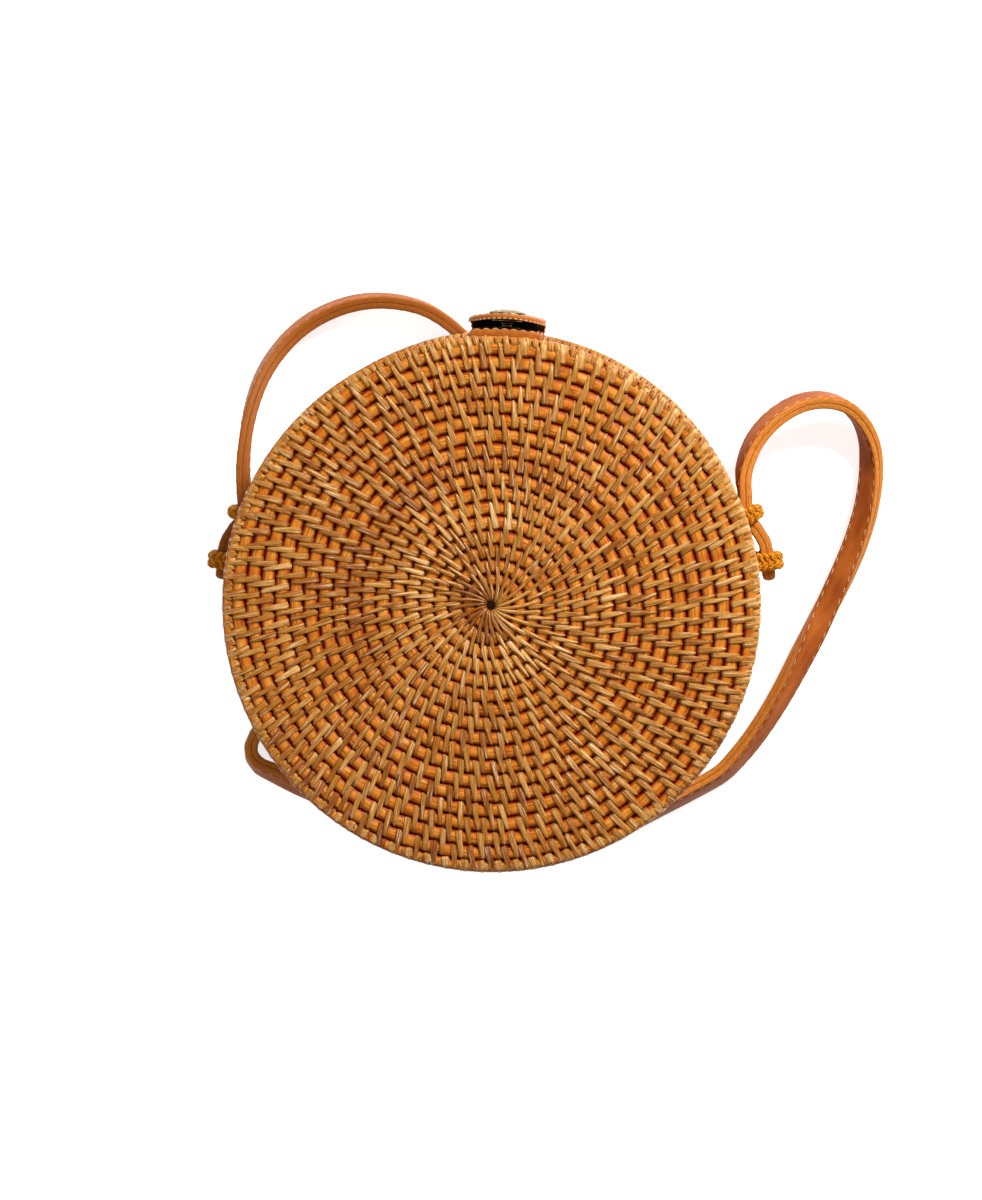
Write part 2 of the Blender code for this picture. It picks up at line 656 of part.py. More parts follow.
def flap_profile(height):
    """Inner radius of the flap at a height, its slope there and how much it is arched."""
    way = (height - FLAP_FOLD_Z) / FLAP_BEND_HEIGHT
    way = min(max(way, 0), 1)
    radius = SEAT_RADIUS + FLAP_STEP * way * way * (3 - 2 * way)
    slope = FLAP_STEP / FLAP_BEND_HEIGHT * 6 * way * (1 - way)
    return radius, math.atan(slope), way


def flap_ring(height, half):
    """Points round the flap's section at a height, inner face then outer face."""
    radius, tilt, bent = flap_profile(height)
    inner = []
    outer = []
    for i in range(FLAP_ACROSS + 1):
        x = half * (2 * i / FLAP_ACROSS - 1)
        arch = FLAP_ARCH * bent * (2 * x / FLAP_WIDTH) ** 2
        angle = x / SEAT_RADIUS
        for points, out in ((inner, 0), (outer, FLAP_THICKNESS)):
            r = radius - arch + out * math.cos(tilt)
            z = height - out * math.sin(tilt)
            points.append((r * math.sin(angle), r * math.cos(angle), z))
    return inner + outer[::-1]


def build_flap(snap_cutter, material):
    """The moving part of the leather flap, with a hole for the cap's shank."""
    bm = loft_mesh([flap_ring(height, half) for height, half in flap_rows()])
    bmesh.ops.transform(bm, matrix=clasp_turn(), verts=bm.verts)
    flap = add_object("clasp_flap", bm, material)
    cut(flap, snap_cutter)
    return flap


def outward_piece(name, profile, closed, material):
    """A small turned piece whose axis points out of the clasp, at the press stud."""
    bm = turned_mesh(profile, closed, SMALL_STEPS)
    bmesh.ops.transform(bm, matrix=outward_turn(SNAP_Z), verts=bm.verts)
    return add_object(name, bm, material)


def cap_profile():
    """Low dome outside the flap with a shank through it, as (radius, distance out)."""
    seat = FLAP_OUTER + GAP
    rim = seat + CAP_RIM
    shank_end = SOCKET_FACE + GAP
    rise = CAP_HEIGHT - CAP_RIM
    dome = [(CAP_RADIUS * math.cos(math.radians(a)), rim + rise * math.sin(math.radians(a)))
            for a in (0, 25, 50, 72)]
    return [(0, shank_end), (SHANK_RADIUS, shank_end), (SHANK_RADIUS, seat),
            (CAP_RADIUS, seat)] + dome + [(0, seat + CAP_HEIGHT)]


def build_snap(brass):
    """Cap and socket for the flap, stud and post for the tab."""
    cap = outward_piece("snap_cap", cap_profile(), False, brass)
    socket = outward_piece("snap_socket", [(SOCKET_BORE, SOCKET_FACE), (SOCKET_RADIUS, SOCKET_FACE),
                                           (SOCKET_RADIUS, SOCKET_TOP), (SOCKET_BORE, SOCKET_TOP)],
                           True, brass)
    flange = STUD_BASE + STUD_FLANGE
    stud = outward_piece("snap_stud", [(0, STUD_BASE), (STUD_RADIUS, STUD_BASE),
                                       (STUD_RADIUS, flange), (STUD_HEAD_RADIUS, flange),
                                       (STUD_HEAD_RADIUS, STUD_HEAD_TOP), (0, STUD_HEAD_TOP)],
                         False, brass)
    low = SEAT_RADIUS + GAP / 2
    shoulder = low + POST_FLANGE
    post = outward_piece("snap_post", [(0, low), (POST_FLANGE_RADIUS, low),
                                       (POST_FLANGE_RADIUS, shoulder), (POST_RADIUS, shoulder),
                                       (POST_RADIUS, TAB_OUTER), (0, TAB_OUTER)],
                         False, brass)
    return [cap, socket], [stud, post]


def build_clasp(leather, brass):
    """Leather pieces and press stud. Returns the flap's pieces and the lid's pieces."""
    hole = cylinder_mesh(SHANK_RADIUS + GAP, SOCKET_FACE, FLAP_OUTER + CUT_OVERRUN, SMALL_STEPS)
    bmesh.ops.transform(hole, matrix=outward_turn(SNAP_Z), verts=hole.verts)
    recess = SEAT_RADIUS + GAP / 2 + POST_FLANGE + GAP
    wide = POST_FLANGE_RADIUS + GAP
    narrow = POST_RADIUS + GAP
    under = SEAT_RADIUS - CUT_OVERRUN
    over = TAB_OUTER + CUT_OVERRUN
    seat = turned_mesh([(0, under), (wide, under), (wide, recess), (narrow, recess),
                        (narrow, over), (0, over)], False, SMALL_STEPS)
    bmesh.ops.transform(seat, matrix=outward_turn(SNAP_Z), verts=seat.verts)
    flap = build_flap(add_cutter("shank_cutter", hole), leather)
    tab_mesh = leather_patch(TAB_BASE_Z, TAB_TOP_Z, TAB_WIDTH / 2, TAB_OUTER)
    tab = add_object("clasp_base_tab", tab_mesh, leather)
    cut(tab, add_cutter("post_cutter", seat))
    root_top = FLAP_FOLD_Z - GAP / 2
    root = leather_patch(WALL_BASE + FLAP_ROOT_MARGIN, root_top, FLAP_WIDTH / 2, FOLD_RADIUS)
    add_object("clasp_flap_root", root, leather)
    on_flap, on_tab = build_snap(brass)
    return [flap] + on_flap, [tab] + on_tab


def main():
    for obj in list(bpy.data.objects):
        bpy.data.objects.remove(obj, do_unlink=True)
    cane = make_material("coiled_cane", (0.62, 0.38, 0.15), 0.65)
    cord = make_material("tie_cord", (0.80, 0.47, 0.10), 0.6)
    leather = make_material("cognac_leather", (0.42, 0.15, 0.05), 0.5)
    brass = make_material("antique_brass", (0.55, 0.42, 0.20), 0.35, 1.0)
    fabric = make_material("cotton_lining", (0.35, 0.16, 0.08), 0.9)

    wall_tool = cylinder_mesh(SEAT_RADIUS, WALL_BASE - CUT_OVERRUN,
                              2 * HALF_DEPTH - WALL_BASE + CUT_OVERRUN, ROUND_STEPS)
    wall_cutter = add_cutter("wall_cutter", wall_tool)
    lid_pieces = build_halves(cane, fabric)
    lid_pieces += build_hinge(wall_cutter, cane)
    line, length, bounds = strap_route()
    build_strap(line, length, bounds, leather)
    build_ties(line, length, wall_cutter, cord)
    flap_pieces, tab_pieces = build_clasp(leather, brass)

    carry(lid_pieces + tab_pieces, add_axis("lid_axis", (0, HINGE_Y, HALF_DEPTH)))
    fold = clasp_turn() @ Vector((0, FOLD_RADIUS, FLAP_FOLD_Z))
    carry(flap_pieces, add_axis("flap_axis", fold))
    print(f"lid axis y {HINGE_Y:.5f} z {HALF_DEPTH + BACK_Z:.5f}")
    print(f"flap axis x {fold.x:.6f} y {fold.y:.6f} z {fold.z + BACK_Z:.6f}")


main()
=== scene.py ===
# %% [markdown]
# # A round coiled cane bag
#
# This script dresses the plain CAD model of a round bag. The bag is two shallow round baskets,
# hinged at the bottom and closed by a leather flap at the top, with a leather shoulder strap.
# Nearly everything on it is a long thin thing that was wound, stitched or bent: a cane core, a
# split cane stitch, a cord, a strap. So nearly every mesh here is a profile carried along a path.
#
# Lengths are written in millimetres, as a maker would, and become metres in one place.

# %% Load the frame
import math

import bmesh
import bpy
import numpy as np
from mathutils import Matrix


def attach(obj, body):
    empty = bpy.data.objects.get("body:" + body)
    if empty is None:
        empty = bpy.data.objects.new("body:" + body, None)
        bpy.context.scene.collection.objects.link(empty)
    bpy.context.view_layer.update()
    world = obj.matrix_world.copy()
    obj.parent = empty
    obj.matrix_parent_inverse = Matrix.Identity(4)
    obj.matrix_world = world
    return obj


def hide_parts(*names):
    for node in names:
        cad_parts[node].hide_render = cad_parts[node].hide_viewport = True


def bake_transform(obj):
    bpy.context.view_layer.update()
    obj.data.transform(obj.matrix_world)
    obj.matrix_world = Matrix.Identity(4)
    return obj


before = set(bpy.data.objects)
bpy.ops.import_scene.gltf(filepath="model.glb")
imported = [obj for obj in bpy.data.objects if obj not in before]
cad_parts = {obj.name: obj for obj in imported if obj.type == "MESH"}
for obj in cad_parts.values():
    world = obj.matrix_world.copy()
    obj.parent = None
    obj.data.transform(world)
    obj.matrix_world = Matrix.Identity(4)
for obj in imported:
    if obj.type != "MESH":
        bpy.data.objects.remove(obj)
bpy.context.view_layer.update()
MM = 0.001

# %% [markdown]
# ## Sizes that the pieces share
#
# The origin is the middle of the front disc, with +Z towards the viewer. Heights run down from
# it: the front is at 0, the mouth between the halves at -40 and the back at -80. The bag lies
# partly on its strap, so the table is a little lower than the back.

# %% Shared sizes
DEPTH = 80.0
MOUTH = -DEPTH / 2
TABLE = -89.5
PITCH = 5.4         # from one turn of the coil to the next
RIM_START = 98.0    # radius at which the flat disc starts to roll over
RIM_ROLL = 2.3      # radius of that roll
CROWN = -0.7        # height of the coil's highest line
print("disc", 2 * (RIM_START + RIM_ROLL), "mm across, table at", TABLE, "mm")

# %% [markdown]
# ## Camera
#
# The photograph looks almost straight down on the disc from far away with a long lens, which
# keeps the disc round. The camera leans 5 degrees towards the clasp, so that the clasp's edge
# and a thin band of the upper side wall can be seen.

# %% Camera
CAMERA_DISTANCE = 1576.0
CAMERA_RIGHT = math.radians(1.6)
CAMERA_UP = math.radians(5.0)
AIM = np.array([0.0, 2.2, 0.0])


def unit(vectors):
    """Vectors of length one: each is divided by its own length."""
    return vectors / np.linalg.norm(vectors, axis=-1, keepdims=True)


def look_at(obj, target):
    """Turns an object so that its -Z points at the target, with +Y of the world upwards.
    The turned axes are back = place - target, right = Y x back and up = back x right."""
    back = unit(np.array(obj.location) - np.array(target))
    right = unit(np.cross((0, 1, 0), back))
    turn = np.stack([right, np.cross(back, right), back], axis=1)
    obj.rotation_mode = "QUATERNION"
    obj.rotation_quaternion = Matrix(turn.tolist()).to_quaternion()


away = unit(np.array([math.tan(CAMERA_RIGHT), math.tan(CAMERA_UP), 1.0]))
camera_data = bpy.data.cameras.new("camera")
camera_data.lens = 127.0
camera_data.sensor_width = 36.0
camera_data.clip_end = 20.0
camera = bpy.data.objects.new("camera", camera_data)
bpy.context.scene.collection.objects.link(camera)
bpy.context.scene.camera = camera
camera.location = away * CAMERA_DISTANCE * MM
look_at(camera, AIM * MM)
print("camera at", np.round(away * CAMERA_DISTANCE), "mm")

# %% [markdown]
# ## Shader nodes in one line each
#
# A material is a small graph. It could be drawn by hand in the shader editor, but a script can
# be read, compared and run again. Writing each node on one line, with its inputs as a dictionary,
# keeps it readable: an input that is given a socket is linked, and any other is set.


# %% Node helpers
def plug(tree, socket, value):
    """Links or sets one input. A colour, (red, green, blue), gets an alpha of 1."""
    if isinstance(value, bpy.types.NodeSocket):
        tree.links.new(value, socket)
    else:
        socket.default_value = (*value, 1.0) if socket.type == "RGBA" else value


def node(tree, kind, inputs=None, **settings):
    """Adds a node to a tree and returns it."""
    made = tree.nodes.new(kind)
    for key, value in settings.items():
        setattr(made, key, value)
    for key, value in (inputs or {}).items():
        plug(tree, made.inputs[key], value)
    return made


def new_material(name):
    """A material with its tree and its Principled shader."""
    made = bpy.data.materials.new(name)
    made.use_nodes = True
    return made, made.node_tree, made.node_tree.nodes["Principled BSDF"]


def finish(tree, shader, **inputs):
    """Fills in the shader's inputs, whose names are written with _ for a space."""
    for key, value in inputs.items():
        plug(tree, shader.inputs[key.replace("_", " ")], value)


print("node helpers ready")

# %% [markdown]
# Sums, colour ramps and colour mixes do most of the work. One more helper turns a distance into
# a share from 0 to 1, which is how an edge or a seam is drawn.


# %% Helpers for sums and colours
def maths(tree, operation, first, second=0.0, third=0.0):
    """One Math node: operation(first, second, third)."""
    return node(tree, "ShaderNodeMath", {0: first, 1: second, 2: third},
                operation=operation).outputs[0]


def between(tree, value, low, high, most=1.0, curve="SMOOTHSTEP"):
    """Rises from 0 to most while the value goes from low to high, and is flat beyond them."""
    return node(tree, "ShaderNodeMapRange", {"Value": value, "From Min": low, "From Max": high,
                                             "To Max": most}, interpolation_type=curve).outputs[0]


def ramp(tree, factor, stops):
    """Colours along a line: stops are (position, red, green, blue)."""
    made = node(tree, "ShaderNodeValToRGB", {"Fac": factor})
    band = made.color_ramp
    while len(band.elements) < len(stops):
        band.elements.new(0.5)
    for element, (place, *colour) in zip(band.elements, stops):
        element.position = place
        element.color = (*colour, 1.0)
    return made.outputs["Color"]


def blend_colour(tree, factor, below, above, how="MIX"):
    """Mixes two colours: below at factor 0 and above at factor 1."""
    return node(tree, "ShaderNodeMix", {0: factor, 6: below, 7: above},
                data_type="RGBA", blend_type=how).outputs[2]


print("colour helpers ready")

# %% [markdown]
# Noise gives cane and leather their grain. By itself it is cloudy, and it becomes fibres when its
# place is scaled more in one direction than in the other. The same noise then bends the normal,
# so that a dark fibre is also a low one.


# %% Helpers for textures
def noise(tree, place, scale, detail=3.0, roughness=0.55):
    """Cloudy noise from 0 to 1, read at a place."""
    return node(tree, "ShaderNodeTexNoise", {"Vector": place, "Scale": scale, "Detail": detail,
                                             "Roughness": roughness}).outputs["Fac"]


def stretched(tree, place, scale):
    """A place that is scaled by a different amount along each axis."""
    return node(tree, "ShaderNodeMapping", {"Vector": place, "Scale": scale}).outputs["Vector"]


def bump(tree, height, distance, strength):
    """A normal bent by a height, whose full range stands for a distance in metres."""
    return node(tree, "ShaderNodeBump", {"Height": height, "Distance": distance,
                                         "Strength": strength}).outputs["Normal"]


print("texture helpers ready")

# %% [markdown]
# ## Cane
#
# The core is round cane with its skin on: golden to orange, with fibre lines along it. The grooves
# between the turns are so dark that they look drawn, and that dark is painted shade in the cane's
# colour. The stitches are split cane, which is duller: olive tan, beige, sometimes grey, with a few
# pale fibres that are partly wear and partly painted highlight, and with painted shade along their
# sides. One strip sews about twenty stitches before the next is joined in, so neighbours share a
# colour.
#
# A pattern in world coordinates would cut straight through the coils. So each mesh carries an
# attribute, strand, with the distance along it, the distance across it and a tint between 0 and
# 1, and both patterns follow that.

# %% Core cane
WARM = (1.0, 0.82, 0.54)    # tints the gloss of cane and leather, which is never blue here


def strand_parts(tree):
    """The strand attribute and its three parts: along, across and tint."""
    strand = node(tree, "ShaderNodeAttribute", attribute_name="strand").outputs["Vector"]
    parts = node(tree, "ShaderNodeSeparateXYZ", {0: strand}).outputs
    return strand, parts[0], parts[1], parts[2]


def core_cane():
    """Skin cane: orange gold, fibre lines along it, and painted shade in dark maroon at its two
    edges, where the grooves between the turns are.
    """
    made, tree, shader = new_material("core_cane")
    strand, _, across, _ = strand_parts(tree)
    fibres = noise(tree, stretched(tree, strand, (0.11, 1.45, 0.0)), 1.0, 4.0, 0.68)
    patches = noise(tree, stretched(tree, strand, (0.16, 0.1, 3.0)), 1.0, 2.0)
    colour = ramp(tree, patches, [(0.30, 0.51, 0.112, 0.007), (0.44, 0.64, 0.188, 0.014),
                                  (0.58, 0.73, 0.274, 0.030), (0.72, 0.82, 0.405, 0.090)])
    lines = ramp(tree, fibres, [(0.38, 0.30, 0.14, 0.06), (0.48, 0.88, 0.80, 0.70),
                                (0.62, 1.0, 1.0, 1.0)])
    colour = blend_colour(tree, 0.85, colour, lines, "MULTIPLY")
    # Painted shade: towards both edges of the core the colour turns dark maroon, where the grooves
    # between the turns are.
    groove = between(tree, maths(tree, "ABSOLUTE", across), 1.15, 2.30, curve="LINEAR")
    colour = blend_colour(tree, groove, colour, (0.22, 0.012, 0.001))
    finish(tree, shader, Base_Color=colour, Roughness=0.45,
           Normal=bump(tree, fibres, 0.00022, 0.9), Specular_IOR_Level=0.25, Specular_Tint=WARM)
    return made


CORE_CANE = core_cane()
print("core material:", CORE_CANE.name)

# %% [markdown]
# One brown for all stitches would look printed. The tint of a strip picks its place on a ramp
# from umber to straw instead, so one recipe serves them all. The wall's and the hinge's cane
# differ from the disc's only in how pale and how glossy they are.


# %% Stitch cane
def stitch_cane(name, pale, gloss):
    """Split cane: its colour runs from umber through olive tan to straw with the tint. A few of its
    fibres are painted nearly white, partly as wear and partly as painted highlight specks, and its
    sides are painted dark maroon as painted shade."""
    made, tree, shader = new_material(name)
    strand, _, across, tint = strand_parts(tree)
    fibres = noise(tree, stretched(tree, strand, (0.13, 1.75, 7.0)), 1.0, 4.0, 0.72)
    mottle = noise(tree, stretched(tree, strand, (0.30, 0.6, 9.0)), 1.0, 2.0)
    shade = maths(tree, "ADD", tint, maths(tree, "MULTIPLY_ADD", mottle, 0.34, pale - 0.17))
    colour = ramp(tree, shade, [(0.02, 0.12, 0.024, 0.002), (0.20, 0.32, 0.090, 0.006),
                                (0.40, 0.44, 0.168, 0.018), (0.58, 0.55, 0.248, 0.038),
                                (0.76, 0.70, 0.380, 0.105), (0.95, 0.87, 0.610, 0.290)])
    lines = ramp(tree, fibres, [(0.35, 0.30, 0.13, 0.04), (0.46, 0.80, 0.70, 0.58),
                                (0.60, 1.0, 1.0, 1.0)])
    colour = blend_colour(tree, 0.90, colour, lines, "MULTIPLY")
    # Wear and painted highlight: the palest fibres are blended towards near white.
    wear_and_highlight = between(tree, fibres, 0.56, 0.72, 0.78, "LINEAR")
    colour = blend_colour(tree, wear_and_highlight, colour, (0.95, 0.82, 0.60))
    # Painted shade: the strip's sides darken towards dark maroon.
    side = between(tree, maths(tree, "ABSOLUTE", across), 0.6, 1.5, 0.62, "LINEAR")
    colour = blend_colour(tree, side, colour, (0.25, 0.030, 0.002))
    finish(tree, shader, Base_Color=colour, Roughness=0.34,
           Normal=bump(tree, fibres, 0.00030, 1.0), Specular_IOR_Level=gloss, Specular_Tint=WARM)
    return made


STITCH_CANE = stitch_cane("stitch_cane", 0.01, 0.62)
WALL_CANE = stitch_cane("wall_cane", 0.13, 0.25)
HINGE_CANE = stitch_cane("hinge_cane", 0.10, 0.30)
print("stitch materials:", STITCH_CANE.name, WALL_CANE.name, HINGE_CANE.name)

# %% [markdown]
# ## From arrays to pieces
#
# A strand is a closed ring of points carried along a path. If there are many strands, they are
# one array with the axes strand, station along it and point of the ring, so one numpy line moves
# all of them. Curves with a bevel could do the same, but a mesh that is worked out here can carry
# the strand attribute. The faces are worked out once for one strand, and copied with an offset.


# %% Lofted strands
def triples(x, y, z):
    """Three arrays, stretched to one shape, as one array of (x, y, z)."""
    return np.stack(np.broadcast_arrays(x, y, z), axis=-1)


def circle(steps):
    """Angles of evenly spaced points round a circle: number * 2 pi / steps."""
    return np.arange(steps) * 2 * math.pi / steps


def running_length(points):
    """Distance along each path from its first point: the sum of the steps so far."""
    step = np.linalg.norm(np.diff(points, axis=-2), axis=-1)
    return np.insert(np.cumsum(step, axis=-1), 0, 0.0, axis=-1)


def strand_faces(count, stations, ring, closed=False):
    """Quads between neighbouring rings, and two end caps on each open strand.
    Point (i, j) of a strand has the number i * ring + j."""
    i, j = np.meshgrid(np.arange(stations if closed else stations - 1), np.arange(ring),
                       indexing="ij")
    nxt_i, nxt_j = (i + 1) % stations, (j + 1) % ring
    quads = np.stack([i * ring + j, nxt_i * ring + j, nxt_i * ring + nxt_j, i * ring + nxt_j],
                     axis=-1).reshape(-1, 4)
    shift = (np.arange(count) * stations * ring)[:, None, None]
    faces = (quads[None] + shift).reshape(-1, 4).tolist()
    if not closed:
        first = np.arange(ring)
        ends = np.stack([first, first + (stations - 1) * ring])
        faces += (ends[None] + shift).reshape(-1, ring).tolist()
    return faces


print("faces of one stitch:", len(strand_faces(1, 9, 6)))

# %% [markdown]
# One function makes every piece. It takes a shape, which is points, faces and the strand
# attribute, and says which CAD solids the piece replaces and which body it rides on. The back
# half is the front half mirrored, so most shapes are made once and used for both halves.


# %% Make a piece
def add_piece(name, shape, material, body=None, stands_for=(), sharp=40):
    """Makes a piece from a shape in millimetres. Normals are made to point outwards, and edges
    that turn by more than the sharp angle stay crisp."""
    points, faces, strand = shape
    mesh = bpy.data.meshes.new(name)
    mesh.from_pydata((np.asarray(points).reshape(-1, 3) * MM).tolist(), [], faces)
    if strand is not None:
        layer = mesh.attributes.new("strand", "FLOAT_VECTOR", "POINT")
        layer.data.foreach_set("vector", np.asarray(strand, np.float32).ravel())
    work = bmesh.new()
    work.from_mesh(mesh)
    bmesh.ops.recalc_face_normals(work, faces=work.faces)
    work.to_mesh(mesh)
    work.free()
    mesh.shade_smooth()
    mesh.set_sharp_from_angle(angle=math.radians(sharp))
    mesh.materials.append(material)
    piece = bpy.data.objects.new(name, mesh)
    bpy.context.scene.collection.objects.link(piece)
    if stands_for:
        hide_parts(*stands_for)
    if body:
        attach(piece, body)
    print(f"{name}: {len(mesh.vertices)} points, {len(mesh.polygons)} faces")
    return piece


def around(angle, radius, height):
    """Place at a clockwise angle from the top: x = radius sin(angle), y = radius cos(angle)."""
    return triples(radius * np.sin(angle), radius * np.cos(angle), height)


def to_back(points):
    """Mirrors places of the front half to the back half: z becomes -depth - z."""
    return points * (1, 1, -1) + (0, 0, -DEPTH)


HALVES = (("front", "lid", np.array), ("back", "back_half", to_back))


def on_half(move, shape):
    """A shape of the front half, moved to the half that the move leads to."""
    return move(shape[0]), shape[1], shape[2]


print("halves:", [side for side, _, _ in HALVES])

# %% [markdown]
# ## The coil
#
# One cane core is wound from the hub to the rim, and its radius grows by one pitch each turn.
# A perfect spiral would leave a step at the rim. On the real bag the last turn is shaved thinner
# and thinner, so its outer side stays on the circle. The same trick starts the coil at the hub:
# the inner side is held on the hub's circle until the spiral has grown past it. A stack of
# separate rings would be simpler, but the eye follows the spiral at the hub.

# %% Wind the coil
HUB_RADIUS = 2.4
COIL_ZERO = math.radians(70)
COIL_FIRST = -0.80
COIL_LAST = 17.93
COIL_HALF_HEIGHT = 2.15
COIL_POWER = 2.15
COIL_RING = 12
COIL_STEPS = 1900
COIL_SPREAD = 0.62
COIL_OUTSIDE = RIM_START + RIM_ROLL + 0.2
THIN_COIL = 1.6     # under this half width the coil gets lower too
THINNEST_COIL = 0.15


def spiral(turns):
    """Radius of the groove inside the coil: hub + pitch * turns."""
    return HUB_RADIUS + PITCH * np.asarray(turns)


def rounded_square():
    """Ring on which |x|^p + |y|^p = 1: (cos w, sin w) over (|cos w|^p + |sin w|^p)^(1/p)."""
    way = circle(COIL_RING) + math.pi / COIL_RING
    c, s = np.cos(way), np.sin(way)
    grow = (np.abs(c) ** COIL_POWER + np.abs(s) ** COIL_POWER) ** (-1 / COIL_POWER)
    return c * grow, s * grow


def coil():
    """The core as one strand. Its half width reaches from one groove to the next, so that
    neighbouring turns touch. The turns grow as share^0.62 along the strand, which is between
    even turns (power 1) and even lengths (power 0.5)."""
    turns = COIL_FIRST + (COIL_LAST - COIL_FIRST) * np.linspace(0, 1, COIL_STEPS) ** COIL_SPREAD
    inner = np.maximum(spiral(turns), HUB_RADIUS)
    outer = np.minimum(spiral(turns + 1), COIL_OUTSIDE)
    half = np.maximum((outer - inner)[:, None] / 2, THINNEST_COIL)
    middle = (inner + outer) / 2
    tall = COIL_HALF_HEIGHT * np.minimum(1, half / THIN_COIL)
    angle = COIL_ZERO + 2 * math.pi * turns
    x, y = rounded_square()
    points = around(angle[:, None], middle[:, None] + half * x,
                    CROWN - COIL_HALF_HEIGHT + tall * y)
    length = np.insert(np.cumsum(middle[1:] * np.diff(angle)), 0, 0.0)
    groove = half * x / np.maximum(half, 0.5) * PITCH / 2
    strand = triples(length[:, None], groove, 0.0)
    return points, strand_faces(1, COIL_STEPS, COIL_RING), strand


coil_shape = coil()
for side, body, move in HALVES:
    add_piece(f"{side}_coil", on_half(move, coil_shape), CORE_CANE, body,
              [f"{side}_panel"])

# %% [markdown]
# ## Stitches
#
# Each stitch starts in the groove outside one turn, crosses that turn and the next one inwards,
# and dives into the groove beyond. It leans about 12 degrees, is narrow where it starts and wide
# where it dives. The next row's stitches are pushed in between those of the row before, and as
# the rows grow longer, now and then there is room for an extra one. That rule alone makes the
# swirl that the photograph shows, so the stitches are laid by the rule and not copied.

# %% Lay out the stitches
LEAN = math.radians(11.5)
HUB_STITCHES = 24
HUB_ROW_END = 2.22
STAGGER = 0.60
PULL = 0.70
CLOSEST = 0.35      # least space between two stitches, as a share of the usual one
STITCHES_OF_A_STRIP = 17
SPACING_AT = ([13, 25, 38, 48, 60, 75, 97], [3.4, 3.9, 4.9, 5.7, 6.3, 6.1, 6.3])


def stitch_places(rng):
    """Turn counts at which stitches cross their middle groove, from the hub outwards. The next
    stitch is aimed a usual space further on, and is then pulled towards its best place between
    the two stitches of the row below: share = best + pull * (aimed share - best)."""
    first = (np.arange(HUB_STITCHES) + rng.uniform(-0.14, 0.14, HUB_STITCHES)) / HUB_STITCHES
    places = list(HUB_ROW_END - 1 + first)
    index = 0
    while places[-1] < COIL_LAST + 0.75:
        girth = 2 * math.pi * float(spiral(places[-1]))
        want = np.interp(girth / (2 * math.pi), *SPACING_AT) / girth
        lean = math.tan(LEAN) * PITCH / girth
        below = places[-1] + want * rng.normal(1, 0.09) - 1 + lean
        while places[index + 1] <= below:
            index += 1
        low, high = places[index], places[index + 1]
        share = STAGGER + PULL * ((below - low) / (high - low) - STAGGER)
        places.append(max(low + (high - low) * share + 1 - lean, places[-1] + CLOSEST * want))
    return np.array(places)


def strip_tints(rng, count):
    """A tint for each stitch: neighbours sewn with one strip share it, with a little noise."""
    strips = rng.normal(0.51, 0.095, count) - 0.20 * (rng.random(count) < 0.10)
    strips = strips[np.arange(count) // STITCHES_OF_A_STRIP]
    return np.clip(strips + rng.normal(0, 0.07, count), 0, 1)


print("girth of the last row:", round(2 * math.pi * float(spiral(COIL_LAST))), "mm")

# %% [markdown]
# A stitch is the same strip wherever it lies, so it is described on a flat chart: a way across
# the coils, an angle round the bag and a lift above the crown of the coils. One function turns
# the chart into places on the disc and rolls it over the rim, another wraps it on the side wall.

# %% Charts of the disc and the wall
WALL_CROWN = 98.2
STRIP_RING = np.array([(-1.0, -0.85), (-0.74, -0.14), (0.0, 0.18), (0.74, -0.14), (1.0, -0.85),
                       (0.0, -1.1)])
STRIP_GAP = 37.0    # added to the strand of each further strip, so that no two look the same


def on_disc(path, angle, lift):
    """Flat up to the rim, then over an arc of the rim's radius, then straight down:
    radius = start + (roll + lift) sin(a) and height = crown - roll + (roll + lift) cos(a)."""
    turn = np.clip((path - RIM_START) / RIM_ROLL, 0, math.pi / 2)
    drop = np.maximum(path - RIM_START - RIM_ROLL * math.pi / 2, 0)
    radius = np.minimum(path, RIM_START) + (RIM_ROLL + lift) * np.sin(turn)
    height = CROWN - RIM_ROLL + (RIM_ROLL + lift) * np.cos(turn) - drop
    return around(angle, radius, height)


def on_wall(path, angle, lift):
    """A cylinder: the way across the coils runs down from the front, the lift runs outwards."""
    return around(angle, WALL_CROWN + lift, -path)


def strips(chart, path, angle, lift, half, thick, reach, tint):
    """Closed strips from arrays of (strip, station). Across the strip is square to its own
    direction on the chart: for a direction (p, t) it is (-t, p). The reach is the radius that
    turns an angle into a distance."""
    run = np.gradient(path, axis=1)
    turn = np.gradient(angle, axis=1) * reach
    size = np.hypot(run, turn)
    across = STRIP_RING[:, 0] * half[..., None]
    p = path[..., None] - (turn / size)[..., None] * across
    t = angle[..., None] + (run / size)[..., None] * across / reach[..., None]
    points = chart(p, t, lift[..., None] + STRIP_RING[:, 1] * thick)
    along = np.cumsum(size, axis=1) + STRIP_GAP * np.arange(len(path))[:, None]
    strand = triples(along[..., None], across, tint[:, None, None])
    return points, strand_faces(len(path), path.shape[1], len(STRIP_RING)), strand


print("a strip has", len(STRIP_RING), "points round it")

# %% [markdown]
# Each strip has nine stations. Tables give its lift and half width at each: it rises out of one
# groove, lies over two turns and dives again. At the hub the strips are narrow and meet in a
# ring, and those of the last turn are short wide wraps of paler cane that hold the rim.

